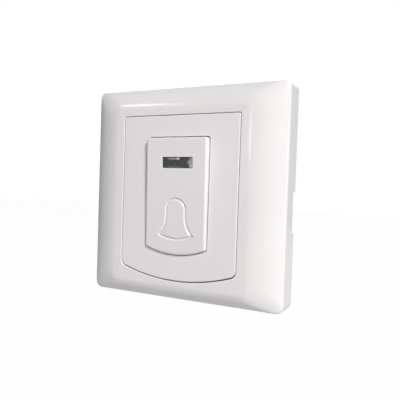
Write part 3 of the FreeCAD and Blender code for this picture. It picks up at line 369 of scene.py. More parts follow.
def newPiece(name, finish, mesh):
    bmesh.ops.remove_doubles(mesh, verts=mesh.verts, dist=1e-6)
    bmesh.ops.recalc_face_normals(mesh, faces=mesh.faces)
    data = bpy.data.meshes.new(name)
    mesh.to_mesh(data)
    mesh.free()
    piece = bpy.data.objects.new(name, data)
    bpy.context.scene.collection.objects.link(piece)
    data.materials.append(finish)
    return piece


def bake(piece):                                  # applies the modifiers that are on the piece
    view = bpy.context.evaluated_depsgraph_get()
    made = bpy.data.meshes.new_from_object(piece.evaluated_get(view))
    piece.modifiers.clear()
    piece.data = made


def carve(piece, tool, operation):                # joins a tool to a piece or takes it away
    modifier = piece.modifiers.new("Carve", "BOOLEAN")
    modifier.operation = operation
    modifier.solver = "EXACT"
    modifier.object = tool
    bake(piece)
    bpy.data.objects.remove(tool)


def block(x, height, z, bevel=0.0):               # a box between two values on each axis
    mesh = bmesh.new()
    bmesh.ops.create_cube(mesh, size=1.0)
    low = Vector((x[0], -height[1], z[0])) * mm
    high = Vector((x[1], -height[0], z[1])) * mm
    for vertex in mesh.verts:
        share = [vertex.co[axis] + 0.5 for axis in range(3)]
        vertex.co = [low[axis] + share[axis] * (high[axis] - low[axis]) for axis in range(3)]
    if bevel:
        bmesh.ops.bevel(mesh, geom=mesh.edges[:], offset=bevel * mm, segments=2, profile=0.5,
                        affect="EDGES")
    return newPiece("tool", whitePlastic, mesh)


facings = {"right": (90, "Y"), "front": (90, "X"), "back": (-90, "X"), "down": (180, "X")}


def turned(name, finish, profile, facing, centre, steps=48):
    # A lathe: the profile is (radius, place along the axis), closed at both ends on the axis
    mesh = bmesh.new()
    degrees, axis = facings[facing]
    turn = Matrix.Rotation(math.radians(degrees), 3, axis)
    loops = []
    for radius, along in profile:
        loop = []
        for step in range(steps):
            angle = 2 * math.pi * step / steps
            point = Vector((radius * math.cos(angle), radius * math.sin(angle), along))
            loop.append(mesh.verts.new(turn @ point * mm + Vector(centre) * mm))
        loops.append(loop)
    for first, second in zip(loops, loops[1:]):
        for step in range(steps):
            after = (step + 1) % steps
            mesh.faces.new((first[step], first[after], second[after], second[step]))
    bmesh.ops.remove_doubles(mesh, verts=mesh.verts, dist=1e-7)
    return newPiece(name, finish, mesh)


def rounded(piece, bevel, segments=3):            # rounds the marked edges
    modifier = piece.modifiers.new("Round", "BEVEL")
    modifier.width = bevel * mm
    modifier.segments = segments
    modifier.limit_method = "WEIGHT"
    bake(piece)


def smooth(piece, angle=35.0, keepFlats=True):    # shades the piece, with its large faces kept flat
    for face in piece.data.polygons:
        face.use_smooth = True
    piece.data.set_sharp_from_angle(angle=math.radians(angle))
    if keepFlats:
        modifier = piece.modifiers.new("Flat faces", "WEIGHTED_NORMAL")
        modifier.keep_sharp = True
        modifier.weight = 80
        bake(piece)


def settle(piece, body, slot, *replaced):
    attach(piece, body)
    if replaced:
        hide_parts(*replaced)
    return piece


past = 1.0                                        # how far a cutting tool reaches past what it cuts


# Face frame: the crown follows a rule, so a geometry tree makes its outer and inner skins

plate = {"half": 43.0, "corner": 2.8, "side": 10.4, "crown": 15.6, "outside": 40.0, "inside": 5.0,
         "landHalf": 29.4, "landTop": 33.2, "landFoot": 36.6, "landCorner": 1.5, "cornerSwell": 4.0,
         "cornerSteps": 10, "footSteps": 40, "rings": 11}


def crownTree():
    shaper = Shaper("crownSkin", dict(plate, inset=0.0))
    inset, half, corner = (shaper.take(name) for name in ("inset", "half", "corner"))
    side, crown = (shaper.take(name) for name in ("side", "crown"))
    outside, inside = (shaper.take(name) * (math.pi / 180) for name in ("outside", "inside"))
    steps, foot, rings = (shaper.take(name) for name in ("cornerSteps", "footSteps", "rings"))
    cornerCount = steps + 1
    columns = cornerCount * 4 + foot
    rows = rings + 2                              # a row at the wall, then the rows of the crown
    grid = shaper.add("GeometryNodeMeshGrid", {}, {"Vertices X": columns + 1, "Vertices Y": rows})
    index = shaper.add("GeometryNodeInputIndex", {}, {})
    nudge = 0.0001                                # keeps whole numbers on their side of the floor
    column = (index / rows + nudge).maths("FLOOR")
    row = index - column * rows
    place = column - columns * (column > columns - 0.5)
    lastCorner = place > cornerCount * 3 + foot - 0.5
    onFoot = (place > cornerCount * 3 - 0.5) * (1 - lastCorner)
    count = place - foot * lastCorner
    quarter = (count / cornerCount + nudge).maths("FLOOR")
    angle = (quarter + (count - quarter * cornerCount) / steps) * (math.pi / 2)
    slope = outside + (inside - outside) * ((row - 1).maths("MAXIMUM", 0.0) / rings)
    run = (slope.maths("SINE") - inside.maths("SINE")) / (outside.maths("SINE") - inside.maths("SINE"))
    level = inside.maths("COSINE")
    drop = (level - slope.maths("COSINE")) / (level - outside.maths("COSINE"))
    height = (crown - inset - (crown - side) * drop) * (row > 0.5)

    def reach(label):
        land = shaper.take(label)
        return land - inset / 2 + (half - inset / 2 - land) * run

    wide, high, low = reach("landHalf"), reach("landTop"), reach("landFoot")
    landCorner = shaper.take("landCorner")
    swell = shaper.take("cornerSwell") * run * (1 - run) * 4      # the ridges soften midway
    radius = landCorner + (corner - inset - landCorner) * run + swell
    rightward = 1 - 2 * (quarter > 0.5) * (quarter < 2.5)
    upper = quarter < 1.5
    x = rightward * (wide - radius) + radius * angle.maths("COSINE")
    z = upper * (high - radius) - (1 - upper) * (low - radius) + radius * angle.maths("SINE")
    share = (place - cornerCount * 3 + 1) / (foot + 1)
    x = x * (1 - onFoot) + (share * 2 - 1) * (wide - radius) * onFoot
    z = z * (1 - onFoot) - low * onFoot
    position = shaper.vector(x * mm, -height * mm, z * mm)
    shaper.close(shaper.add("GeometryNodeSetPosition", {}, {"Geometry": grid, "Position": position}))
    return shaper


insert = {"half": 25.85, "top": 30.9, "foot": 34.5, "footRadius": 75.0, "footCorner": 3.0, "topCorner": 0.6,
          "leastTopCorner": 0.15, "leastFootCorner": 0.2, "edge": 0.45, "edgeSteps": 5, "seam": 0.2,
          "footSeam": 0.4, "thickness": 1.8, "skirtWall": 1.6, "skirtBack": 7.2, "bevel": 0.18}


def insertOutline(grow, footGrow=None, cornerSteps=10):
    lower = grow if footGrow is None else footGrow
    return outline(insert["half"] + grow, insert["top"] + grow, insert["foot"] + lower,
                   max(insert["topCorner"] + grow, insert["leastTopCorner"]),
                   max(insert["footCorner"] + grow, insert["leastFootCorner"]),
                   insert["footRadius"] + lower, cornerSteps)


def faceFrame():
    shell = {"wall": 2.0, "bevel": 1.0, "bevelSteps": 5, "window": 0.35, "collar": 0.3, "rim": 0.3}
    collar = {"wall": 1.4, "depth": 6.5}
    notch = {"top": 2.2, "length": 16.0, "depth": 2.7, "thickness": 2.9}
    barb = {"place": 22.0, "half": 4.0, "reach": 0.9, "root": 0.5, "foot": 0.3, "ledge": 1.55, "bevel": 0.15}
    tree = crownTree()
    mesh = bmesh.new()
    skins = []
    rows = plate["rings"] + 2
    columns = 4 * (plate["cornerSteps"] + 1) + plate["footSteps"] + 1
    for inset in (0.0, shell["wall"]):
        made = tree.grow("crownSkin", dict(plate, inset=inset), whitePlastic)
        before = len(mesh.verts)
        mesh.from_mesh(made.data)
        bpy.data.objects.remove(made)
        mesh.verts.ensure_lookup_table()
        skins.append([[mesh.verts[before + column * rows + row] for column in range(columns)]
                      for row in range(rows)])
    outer, inner = skins
    seam, footSeam = insert["seam"], insert["footSeam"]
    window = insertOutline(seam, footSeam)
    lip = insertOutline(seam + collar["wall"], footSeam + collar["wall"])
    rear = plate["crown"] - collar["depth"]
    loops = [outer[-1], ring(mesh, window, plate["crown"]), ring(mesh, window, rear), ring(mesh, lip, rear),
             ring(mesh, lip, plate["crown"] - shell["wall"]), inner[-1]]
    skin(mesh, loops, [0, shell["window"], shell["collar"], shell["collar"]])
    skin(mesh, [outer[0], inner[0]], [shell["rim"], shell["rim"]])
    markEdges(mesh, outer[1], 1.0)
    piece = newPiece("faceFrame", whitePlastic, mesh)
    rounded(piece, shell["bevel"], shell["bevelSteps"])
    carve(piece, block((plate["half"] - notch["thickness"], plate["half"] + past), (-past, notch["depth"]),
                       (notch["top"] - notch["length"], notch["top"])), "DIFFERENCE")
    inside = plate["half"] - shell["wall"]
    for side in (1, -1):
        for end in (1, -1):
            place = around(side * barb["place"], barb["half"])
            reach = onSide(end, inside - barb["reach"], inside + barb["root"])
            carve(piece, block(place, (barb["foot"], barb["ledge"]), reach, barb["bevel"]), "UNION")
    smooth(piece)
    return settle(piece, plateBody, "white_gloss", "face_frame")


frameObject = faceFrame()
print("face frame made", len(frameObject.data.polygons))


# Insert panel

key = {"half": 13.5, "top": 22.1, "foot": 24.0, "footRadius": 35.2, "corner": 1.0, "gap": 0.35,
       "leastCorner": 0.1, "face": 16.9, "thickness": 1.6, "wall": 1.4, "depth": 6.3, "edge": 0.85,
       "edgeSteps": 8, "faceMargin": 0.2, "bevel": 0.25, "tilt": 1.6, "hinge": (12.2, -17.0),
       "trunnion": 1.2, "trunnionReach": 2.0, "trunnionTip": 0.2}


def keyOutline(grow, cornerSteps=10):
    corner = max(key["corner"] + grow, key["leastCorner"])
    return outline(key["half"] + grow, key["top"] + grow, key["foot"] + grow, corner, corner,
                   key["footRadius"] + grow, cornerSteps)


def insertPanel():
    ear = {"inner": 14.0, "thickness": 1.6, "half": 2.4, "root": 0.45, "bore": 1.25, "mouth": 1.0,
           "past": 0.2}
    clip = {"place": 13.0, "width": 7.0, "shoulder": 2.0, "baseFace": 2.5, "inset": 0.05, "foot": 0.3,
            "shank": 1.6, "ledge": 1.55, "barb": 0.8, "barbRoot": 0.8}
    bevel = {"rim": 0.4, "opening": 1.0, "openingRear": 0.5, "skirtRoot": 0.6}    # shares of the bevel
    front, back = plate["crown"], insert["skirtBack"]
    rear = front - insert["thickness"]
    mesh = bmesh.new()
    loops = [ring(mesh, insertOutline(0), back)]
    loops += roundEdge(mesh, insertOutline, insert["edge"], front, insert["edgeSteps"])
    opening = keyOutline(key["gap"])
    under = insertOutline(-insert["skirtWall"])
    weights = [bevel["rim"]] + [0] * (len(loops) - 1)
    weights += [bevel["opening"], bevel["openingRear"], bevel["skirtRoot"], bevel["rim"]]
    loops += [ring(mesh, opening, front), ring(mesh, opening, rear), ring(mesh, under, rear),
              ring(mesh, under, back), loops[0]]
    skin(mesh, loops, weights)
    piece = newPiece("insertPanel", whitePlastic, mesh)
    rounded(piece, insert["bevel"])
    height, rise = key["hinge"]
    outer = insert["half"] - clip["inset"]
    for side in (1, -1):
        near, far = onSide(side, ear["inner"], ear["inner"] + ear["thickness"])
        carve(piece, block((near, far), (height - ear["half"], rear + ear["root"]),
                           around(rise, ear["half"])), "UNION")
        near, far = near - ear["past"], far + ear["past"]
        bore = [(0, near), (ear["bore"], near), (ear["bore"], far), (0, far)]
        carve(piece, turned("tool", whitePlastic, bore, "right", (0, -height, rise)), "DIFFERENCE")
        carve(piece, block((near, far), (height - ear["half"] - ear["past"], height),
                           around(rise, ear["mouth"])), "DIFFERENCE")
        for end in (1, -1):
            low, high = around(end * clip["place"], clip["width"] / 2)
            leg = onSide(side, insert["half"] - insert["skirtWall"], outer)
            barb = onSide(side, outer - clip["barbRoot"], outer + clip["barb"])
            for tool in (block(leg, (clip["baseFace"], back + insert["skirtWall"]),
                               (low - clip["shoulder"], high + clip["shoulder"])),
                         block(leg, (clip["foot"], clip["baseFace"] + clip["shank"]), (low, high)),
                         block(barb, (clip["foot"], clip["ledge"]), (low, high))):
                carve(piece, tool, "UNION")
    smooth(piece)
    return settle(piece, plateBody, "white_gloss", "insert_panel")


insertObject = insertPanel()
print("insert panel made", len(insertObject.data.polygons))


# Push key with its window and bell groove

bell = {"middle": 0.4, "domeDrop": 6.15, "domeRadius": 4.2, "flank": 2.35, "flareRadius": 10.7,
        "footDrop": 17.75, "footRadius": 17.2, "width": 1.3, "depth": 0.5}
window = {"middle": 0.7, "rise": 12.25, "width": 13.6, "height": 4.3, "recess": 0.5, "chamfer": 0.12}


def leanKey(piece):                               # the key is drawn upright, then leaned about its hinge
    height, rise = key["hinge"]
    pivot = Vector((0, -height, rise)) * mm
    turn = Matrix.Rotation(math.radians(key["tilt"]), 4, "X")
    piece.data.transform(Matrix.Translation(pivot) @ turn @ Matrix.Translation(-pivot))


def bellOutline(grow, domeSteps=28, flareSteps=18, footSteps=24):
    dome, flare = bell["domeRadius"] + grow, bell["flareRadius"] - grow
    foot = bell["footRadius"] + grow
    start = -bell["domeDrop"] - bell["flank"]
    footCentre = bell["footRadius"] - bell["footDrop"]
    flarePlace = bell["domeRadius"] + bell["flareRadius"]
    along = start - footCentre
    apart = math.hypot(flarePlace, along)
    share = (foot ** 2 - flare ** 2 + apart ** 2) / (2 * apart)
    rise = math.sqrt(foot ** 2 - share ** 2)
    lip = ((share * flarePlace + rise * along) / apart, (share * along - rise * flarePlace) / apart)
    flareTurn = math.atan2(lip[1] - along, lip[0] - flarePlace) % (2 * math.pi)
    footTurn = math.atan2(lip[1], lip[0]) % (2 * math.pi)
    right = []
    for step in range(domeSteps + 1):
        angle = math.pi / 2 * (1 - step / domeSteps)
        right.append((dome * math.cos(angle), -bell["domeDrop"] + dome * math.sin(angle)))
    for step in range(flareSteps + 1):
        angle = math.pi + (flareTurn - math.pi) * step / flareSteps
        right.append((flarePlace + flare * math.cos(angle), start + flare * math.sin(angle)))
    for step in range(1, footSteps + 1):
        angle = footTurn + (1.5 * math.pi - footTurn) * step / footSteps
        right.append((foot * math.cos(angle), footCentre + foot * math.sin(angle)))
    left = [(-x, z) for x, z in reversed(right[1:-1])]
    return [(x + bell["middle"], z) for x, z in right + left + right[:1]]


def windowOutline(grow, radius=0.25, steps=4):
    wide, high = window["width"] / 2 + grow, window["height"] / 2 + grow
    points = []
    for turn, x, z in ((0, 1, 1), (90, -1, 1), (180, -1, -1), (270, 1, -1)):
        for step in range(steps + 1):
            angle = math.radians(turn + 90 * step / steps)
            points.append((window["middle"] + x * (wide - radius) + radius * math.cos(angle),
                           window["rise"] + z * (high - radius) + radius * math.sin(angle)))
    return points + points[:1]


def fillFlat(mesh, loops, holes):
    # Fills the flat between the first loop and the others, leaving the holes open
    flat, edges, made = [], [], []
    for loop in loops:
        first = len(flat)
        flat += [Vector((vertex.co.x / mm, vertex.co.z / mm)) for vertex in loop[:-1]]
        made += loop[:-1]
        edges += [(first + index, first + (index + 1) % (len(loop) - 1)) for index in range(len(loop) - 1)]
    points, _, faces, origins, _, _ = delaunay_2d_cdt(flat, edges, [], 1, 1e-6)
    for face in faces:
        middle = sum((points[index] for index in face), Vector((0, 0))) / 3
        if not any(inLoop(middle, hole) for hole in holes):
            mesh.faces.new([made[origins[index][0]] for index in face])


def inLoop(point, loop):
    inside = False
    for (x0, z0), (x1, z1) in zip(loop, loop[1:]):
        if (z0 > point.y) != (z1 > point.y) and point.x < (x1 - x0) * (point.y - z0) / (z1 - z0) + x0:
            inside = not inside
    return inside


def pushKey():
    post = {"radius": 2.2, "end": 8.4, "rise": 3.0, "tip": 0.3, "root": 0.4, "rib": 1.0, "ribDepth": 2.6}
    lug = {"top": 19.6, "length": 5.0, "thickness": 1.2, "reach": 1.25, "front": 12.728, "bevel": 0.15}
    groove = ((1.0, 0.0), (0.86, 0.14), (0.64, 0.52), (0.4, 0.86), (0.0, 1.0))
    groove += tuple((-across, depth) for across, depth in reversed(groove[:-1]))
    front, rear = key["face"], key["face"] - key["depth"]
    under = front - key["thickness"]
    edge, rim = key["edge"], 0.5                  # the rim's share of the key's bevel
    mesh = bmesh.new()
    loops = [ring(mesh, keyOutline(-key["wall"]), under), ring(mesh, keyOutline(-key["wall"]), rear),
             ring(mesh, keyOutline(0), rear)]
    loops += roundEdge(mesh, keyOutline, edge, front, key["edgeSteps"])
    loops.append(ring(mesh, keyOutline(-edge - key["faceMargin"]), front))
    skin(mesh, loops, [0, rim, rim])
    grooves = [ring(mesh, bellOutline(across * bell["width"] / 2), front - depth * bell["depth"])
               for across, depth in groove]
    skin(mesh, grooves)
    mouth, hole = windowOutline(window["chamfer"]), windowOutline(0)
    chamfer, throat = ring(mesh, mouth, front), ring(mesh, hole, front - window["chamfer"])
    bottom = ring(mesh, hole, under)
    skin(mesh, [chamfer, throat, bottom])
    fillFlat(mesh, [loops[-1], grooves[0], chamfer], [bellOutline(bell["width"] / 2), mouth])
    fillFlat(mesh, [grooves[-1]], [])
    fillFlat(mesh, [loops[0], bottom], [hole])
    piece = newPiece("pushKey", keyPlastic, mesh)
    rounded(piece, key["bevel"])
    middle = key["half"] - key["wall"] / 2
    root = under + post["root"]
    profile = [(0, 0), (post["radius"] - post["tip"], 0), (post["radius"], post["tip"]),
               (post["radius"], root - post["end"]), (0, root - post["end"])]
    rib = block((-middle, middle), (under - post["ribDepth"], root), around(post["rise"], post["rib"] / 2))
    tools = [turned("tool", keyPlastic, profile, "front", (0, -post["end"], post["rise"])), rib]
    height, rise = key["hinge"]
    reach, thick, tip = key["half"] + key["trunnionReach"], key["trunnion"], key["trunnionTip"]
    for side in (1, -1):
        profile = [(0, side * middle), (thick, side * middle), (thick, side * (reach - tip)),
                   (thick - tip, side * reach), (0, side * reach)]
        tools.append(turned("tool", keyPlastic, profile, "right", (0, -height, rise)))
        tools.append(block(onSide(side, middle, key["half"] + lug["reach"]),
                           (lug["front"] - lug["thickness"], lug["front"]),
                           (lug["top"] - lug["length"], lug["top"]), lug["bevel"]))
    for tool in tools:
        carve(piece, tool, "UNION")
    smooth(piece, keepFlats=False)
    leanKey(piece)
    return settle(piece, keyBody, "white_gloss", "push_key")


keyObject = pushKey()
print("push key made", len(keyObject.data.polygons))


def indicatorLens():
    lens = {"flange": 0.7, "flangeThickness": 0.6, "flangeCorner": 0.4, "gap": 0.05, "edge": 0.15,
            "faceCorner": 0.2}
    under = key["face"] - key["thickness"]
    rear, front = under - lens["flangeThickness"], key["face"] - window["recess"]
    mesh = bmesh.new()
    wide, close = windowOutline(lens["flange"], lens["flangeCorner"]), windowOutline(-lens["gap"])
    face = windowOutline(-lens["gap"] - lens["edge"], lens["faceCorner"])
    loops = [ring(mesh, wide, rear), ring(mesh, wide, under), ring(mesh, close, under),
             ring(mesh, close, front - lens["edge"]), ring(mesh, face, front)]
    skin(mesh, loops)
    mesh.faces.new(loops[0][:-1])
    mesh.faces.new(loops[-1][:-1])
    piece = newPiece("indicatorLens", smokedLens, mesh)
    smooth(piece)
    leanKey(piece)
    return settle(piece, keyBody, "smoked_lens", "indicator_lens")


lensObject = indicatorLens()
print("lens made")


# Indicator lamp behind the window

def neonLamp():
    # The shoulder's points are (inwards, back from the end), the hollow's are (radius, back from the nose)
    lamp = {"height": 11.2, "rise": 12.0, "radius": 2.0, "wall": 0.4, "half": 4.6, "tip": 0.3, "nose": 1.6,
            "shoulder": ((0, 1.6), (0.15, 0.8), (0.4, 0.2), (0.7, 0)), "seal": 2.0, "sealRound": 0.2,
            "sealStep": 0.3, "hollow": ((1.6, 1.7), (1.0, 0.9), (0, 0.7)), "noseSteps": 8}
    radius, half, tip = lamp["radius"], lamp["half"], lamp["tip"]
    profile = [(0, -half)]
    for step in range(1, lamp["noseSteps"] + 1):
        angle = math.radians(90 * step / lamp["noseSteps"])
        profile.append((tip + (radius - tip) * math.sin(angle), -half + lamp["nose"] * (1 - math.cos(angle))))
    profile += [(radius - inwards, half - back) for inwards, back in lamp["shoulder"]] + [(0, half)]
    centre = (0, -lamp["height"], lamp["rise"])
    shell = turned("neonLamp", lampGlass, profile, "right", centre)
    bore, end = radius - lamp["wall"], half - lamp["seal"]
    inner = [(0, end), (bore - lamp["sealRound"], end), (bore, end - lamp["sealStep"])]
    inner += [(wide, -half + back) for wide, back in lamp["hollow"]]
    carve(shell, turned("tool", lampGlass, list(reversed(inner)), "right", centre), "DIFFERENCE")
    smooth(shell, 50)
    return settle(shell, plateBody, "lamp_glass", "neon_lamp")


neonLamp()


# Coils, screws and contacts from geometry trees

coilSizes = {"radius": 2.4, "wire": 0.3, "length": 7.4, "turns": 6.0, "closedTurns": 0.9, "steps": 260,
             "wireSteps": 12, "place": 4.55, "rise": 3.0}


def coilTree():
    shaper = Shaper("coil", coilSizes)
    radius, wire, length = (shaper.take(name) for name in ("radius", "wire", "length"))
    turns, closed = shaper.take("turns"), shaper.take("closedTurns")
    path = shaper.add("GeometryNodeCurvePrimitiveLine", {}, {"End": (0, 0, 1)})
    path = shaper.add("GeometryNodeResampleCurve", {}, {"Curve": path, "Count": shaper.take("steps")})
    share = shaper.add("GeometryNodeSplineParameter", {}, {})
    turn = share * turns
    # The end turns lie flat against their neighbours, and the rest share what is left
    ends = turn.maths("MINIMUM", closed) + (turn - (turns - closed)).maths("MAXIMUM", 0.0)
    middle = (turn - closed).maths("MAXIMUM", 0.0).maths("MINIMUM", turns - closed * 2)
    pitch = (length - wire * 2 - closed * wire * 4) / (turns - closed * 2)
    along = ends * wire * 2 + middle * pitch + wire
    angle = turn * (2 * math.pi)
    position = shaper.vector(angle.maths("COSINE") * radius * mm, (shaper.take("place") + along) * mm,
                             (shaper.take("rise") + angle.maths("SINE") * radius) * mm)
    path = shaper.add("GeometryNodeSetPosition", {}, {"Geometry": path, "Position": position})
    section = shaper.add("GeometryNodeCurvePrimitiveCircle", {}, {"Resolution": shaper.take("wireSteps"),
                                                                  "Radius": wire * mm})
    shaper.close(shaper.add("GeometryNodeCurveToMesh", {}, {"Curve": path, "Profile Curve": section,
                                                            "Fill Caps": True}))
    return shaper


coils = coilTree()


def coil(name, body, node, values):
    piece = coils.grow(name, values, springSteel)
    for face in piece.data.polygons:
        face.use_smooth = True
    piece.data.set_sharp_from_angle(angle=math.radians(60))
    return settle(piece, body, "spring_steel", node)


returnCoil = coil("returnSpring", plateBody, "return_spring", coilSizes)
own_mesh(returnCoil)
coil("contactSpring", plungerBody, "contact_spring",
     dict(coilSizes, place=-1.45, length=4.4, turns=4.0, steps=180))
print("coils made")


rowSizes = {"blank": None, "across": 0.0, "up": 0.0, "columns": 1, "rows": 1, "x": 0.0, "y": 0.0, "z": 0.0}


def scatterTree():
    # Copies one blank to each point of a grid that is centred on its place
    shaper = Shaper("rows", rowSizes)
    grid = shaper.add("GeometryNodeMeshGrid", {}, {
        "Size X": shaper.take("across") * mm, "Size Y": shaper.take("up") * mm,
        "Vertices X": shaper.take("columns"), "Vertices Y": shaper.take("rows")})
    points = shaper.add("GeometryNodeMeshToPoints", {}, {"Mesh": grid})
    place = shaper.vector(shaper.take("x") * mm, shaper.take("y") * mm, shaper.take("z") * mm)
    points = shaper.add("GeometryNodeTransform", {}, {"Geometry": points, "Translation": place,
                                                      "Rotation": (math.radians(90), 0, 0)})
    blank = shaper.add("GeometryNodeObjectInfo", {"transform_space": "ORIGINAL"},
                       {"Object": shaper.take("blank")}, "Geometry")
    shaper.close(shaper.add("GeometryNodeInstanceOnPoints", {}, {"Points": points, "Instance": blank}))
    return shaper


scatter = scatterTree()


def scattered(name, body, slot, finish, blank, values, replaced):
    piece = scatter.grow(name, dict(rowSizes, blank=blank, **values), finish)
    bpy.data.objects.remove(blank)
    smooth(piece)
    return settle(piece, body, slot, *replaced)


# Each set: which way its screws face, head radius, head height, length, rows and nodes
screwSets = {
    "housingScrews": ("front", 1.9, 1.3, 4.0, {"across": 43.4, "up": 43.4, "columns": 2, "rows": 2, "y": -4.3},
                      ["housing_screws"]),
    "coverScrews": ("back", 1.9, 1.3, 6.7, {"up": 33.0, "rows": 2, "y": 17.0}, ["cover_screws"]),
    "clampScrews": ("down", 2.1, 1.6, 3.05, {"across": 29.2, "columns": 2, "y": 11.0, "z": -14.8},
                    ["clamp_screw_right", "clamp_screw_left"])}


def screwBlank(facing, head, headHeight, length):
    # Slotted pan head, plain neck and ringed thread, with its seat at the origin
    thread = {"radius": 1.0, "pitch": 0.45, "depth": 0.14, "crest": (0.4, 0.55), "neck": 0.5, "point": 0.5,
              "tip": 0.25}
    crown = {"start": 0.45, "round": 0.55, "dome": 0.85, "flat": 0.4, "flatHeight": 0.99, "slot": 0.25,
             "steps": 6}
    shank, root, pitch = thread["radius"], thread["radius"] - thread["depth"], thread["pitch"]
    profile = [(0, -length), (root - thread["tip"], -length), (root, -length + thread["tip"])]
    along = -length + thread["point"]
    while along < -thread["neck"] - pitch:
        profile += [(shank, along + pitch * share) for share in thread["crest"]] + [(root, along + pitch)]
        along += pitch
    profile += [(shank, -thread["neck"]), (shank, 0), (head, 0), (head, headHeight * crown["start"])]
    for step in range(1, crown["steps"] + 1):
        angle = math.radians(90 * step / crown["steps"])
        rise = crown["start"] + crown["round"] * math.sin(angle) * crown["dome"]
        profile.append((head - crown["round"] * (1 - math.cos(angle)), headHeight * rise))
    profile += [(head * crown["flat"], headHeight * crown["flatHeight"]), (0, headHeight)]
    blank = turned("screwBlank", platedSteel, profile, facing, (0, 0, 0), 40)
    reach, slot = head + 0.5, (-crown["slot"], crown["slot"])
    forward, backward = (headHeight / 2, headHeight + past), (-headHeight - past, -headHeight / 2)
    heights, rises = {"front": (forward, slot), "back": (backward, slot), "down": (slot, backward)}[facing]
    carve(blank, block((-reach, reach), heights, rises), "DIFFERENCE")
    return blank


for name, (facing, head, headHeight, length, rows, replaced) in screwSets.items():
    scattered(name, plateBody, "screw_steel", platedSteel, screwBlank(facing, head, headHeight, length), rows,
              replaced)
print("screws made")

contactSets = {
    "fixedContacts": (plateBody, "front", {"across": 18.0, "columns": 2, "y": 6.367, "z": 3.0},
                      ["fixed_contact_right", "fixed_contact_left"]),
    "bridgeContacts": (plungerBody, "back", {"across": 18.0, "columns": 2, "y": 3.8, "z": 3.0},
                       ["bridge_contacts"])}


def contactBlank(facing):
    # A riveted contact: crowned silver head and a shank that fills its hole
    rivet = {"radius": 1.5, "height": 0.7, "shank": 0.8, "length": 0.8, "start": 0.6, "dome": 0.34,
             "round": 0.3, "steps": 5}
    radius, height = rivet["radius"], rivet["height"]
    profile = [(0, -rivet["length"]), (rivet["shank"], -rivet["length"]), (rivet["shank"], 0), (radius, 0),
               (radius, height * rivet["start"])]
    for step in range(1, rivet["steps"] + 1):
        angle = math.radians(90 * step / rivet["steps"])
        profile.append((radius - rivet["round"] * (1 - math.cos(angle)),
                        height * (rivet["start"] + rivet["dome"] * math.sin(angle))))
    profile.append((0, height))
    return turned("contactBlank", silverFace, profile, facing, (0, 0, 0), 32)


for name, (body, facing, rows, replaced) in contactSets.items():
    scattered(name, body, "contact_silver", silverFace, contactBlank(facing), rows, replaced)
print("contacts made")


# Pieces whose form is right as it was packed take their finish here

cadFinishes = {basePlastic: ["base_plate"], plungerPlastic: ["plunger"], springSteel: ["retaining_clip"],
               housingPlastic: ["mechanism_housing", "rear_cover", "lamp_holder"],
               stampedBrass: ["contact_bridge", "terminal_right", "terminal_left"],
               tinnedWire: ["lamp_electrodes", "lamp_lead_left", "lamp_lead_right", "resistor_lead"],
               resistorCoat: ["ballast_resistor"]}
for finish, names in cadFinishes.items():
    for name in names:
        for place in nodes[name].material_slots:
            place.material = finish


# Floor, light and camera

def stage():
    ground = {"drop": 0.105, "half": 2.0, "colour": (0.64, 0.64, 0.64, 1), "mottled": (0.62, 0.62, 0.62, 1),
              "mottleScale": 3.0, "whiteShare": 0.98}     # metres
    mesh = bmesh.new()
    bmesh.ops.create_grid(mesh, x_segments=4, y_segments=4, size=ground["half"])
    finish, graph = newFinish("paleFloor")
    ray = graph.add("ShaderNodeLightPath", {}, {}, "Is Camera Ray")
    tone = graph.blend(objectNoise(graph, ground["mottleScale"]), ground["colour"], ground["mottled"])
    matt = graph.add("ShaderNodeBsdfDiffuse", {}, {"Color": tone})
    white = graph.add("ShaderNodeEmission", {}, {"Color": (1, 1, 1, 1), "Strength": 1.0})
    mixed = graph.add("ShaderNodeMixShader", {}, {0: ray * ground["whiteShare"], 1: matt, 2: white})
    graph.add("ShaderNodeOutputMaterial", {}, {"Surface": mixed})
    floor = newPiece("floor", finish, mesh)
    floor.data.transform(Matrix.Translation((0, 0, -ground["drop"])))


def worldLight():
    look = {"colour": (0.9, 0.95, 1.0, 1), "strength": 0.035, "mirrored": 0.2}
    world = bpy.data.worlds.new("studio")
    bpy.context.scene.world = world
    world.use_nodes = True
    graph = Graph(world.node_tree)
    direct, through, mirrored = (graph.add("ShaderNodeLightPath", {}, {}, name) for name in (
        "Is Camera Ray", "Is Transmission Ray", "Is Glossy Ray"))
    seen = direct.maths("MAXIMUM", through).maths("MAXIMUM", mirrored * look["mirrored"])
    plain = graph.add("ShaderNodeBackground", {}, {"Color": look["colour"], "Strength": look["strength"]})
    white = graph.add("ShaderNodeBackground", {}, {"Color": (1, 1, 1, 1), "Strength": 1.0})
    mixed = graph.add("ShaderNodeMixShader", {}, {0: seen, 1: plain, 2: white})
    graph.add("ShaderNodeOutputWorld", {}, {"Surface": mixed})


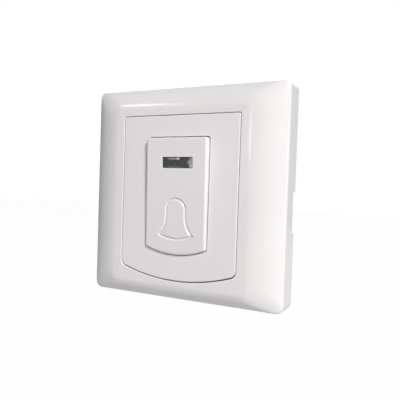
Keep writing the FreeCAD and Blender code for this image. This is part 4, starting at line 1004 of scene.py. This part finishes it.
# Azimuth and elevation in degrees, distance, width and height in metres, power in watts, colour
lamps = {"keyLight": (48, 35, 2.0, 0.5, 0.5, 37.6, (1.0, 0.975, 0.982)),
         "sideLight": (95, -5, 0.8, 0.4, 0.4, 0.9, (1.0, 0.99, 0.99)),
         "cornerGlow": (75, -35, 0.17, 0.06, 0.06, 0.02, (1.0, 0.99, 0.99)),
         "frontGlow": (-28, 2, 0.9, 0.25, 0.25, 0.12, (1.0, 0.98, 0.99)),
         "topStreak": (-43, 36, 0.9, 0.12, 0.03, 0.26, (1.0, 1.0, 1.0)),
         "ridgeGlint": (-12, 8, 0.9, 0.03, 0.1, 0.2, (1.0, 1.0, 1.0)),
         "backLight": (205, 35, 1.0, 0.8, 0.8, 5.0, (1.0, 0.99, 0.99))}


def awayFrom(azimuth, elevation):                 # the way from the object to a lamp or the camera
    a, e = math.radians(azimuth), math.radians(elevation)
    return Vector((math.sin(a) * math.cos(e), -math.cos(a) * math.cos(e), math.sin(e)))


def softLamp(name, azimuth, elevation, distance, wide, high, power, colour):
    lamp = bpy.data.lights.new(name, "AREA")
    lamp.shape = "RECTANGLE"
    lamp.size, lamp.size_y, lamp.energy, lamp.color = wide, high, power, colour
    holder = bpy.data.objects.new(name, lamp)
    holder.location = awayFrom(azimuth, elevation) * distance
    holder.rotation_euler = holder.location.to_track_quat("Z", "Y").to_euler()
    bpy.context.scene.collection.objects.link(holder)


def camera():
    view = {"azimuth": 26.88, "elevation": 1.696, "roll": 1.919, "lens": 42.494, "sensor": 36.0,
            "place": (92.161, -177.212, 3.312), "near": 0.01, "far": 20.0}
    azimuth, roll = math.radians(view["azimuth"]), math.radians(view["roll"])
    back = awayFrom(view["azimuth"], view["elevation"])
    level = Vector((math.cos(azimuth), math.sin(azimuth), 0))
    upright = back.cross(level)
    right = level * math.cos(roll) + upright * math.sin(roll)
    up = upright * math.cos(roll) - level * math.sin(roll)
    data = bpy.data.cameras.new("camera")
    data.lens, data.sensor_width = view["lens"], view["sensor"]
    holder = bpy.data.objects.new("camera", data)
    turn = Matrix((right, up, back)).transposed().to_4x4()
    holder.matrix_world = Matrix.Translation(Vector(view["place"]) * mm) @ turn
    data.clip_start, data.clip_end = view["near"], view["far"]
    bpy.context.scene.collection.objects.link(holder)
    bpy.context.scene.camera = holder


stage()
worldLight()
for name, values in lamps.items():
    softLamp(name, *values)
camera()
bpy.context.scene.view_settings.view_transform = "Standard"
print("stage, light and camera made")
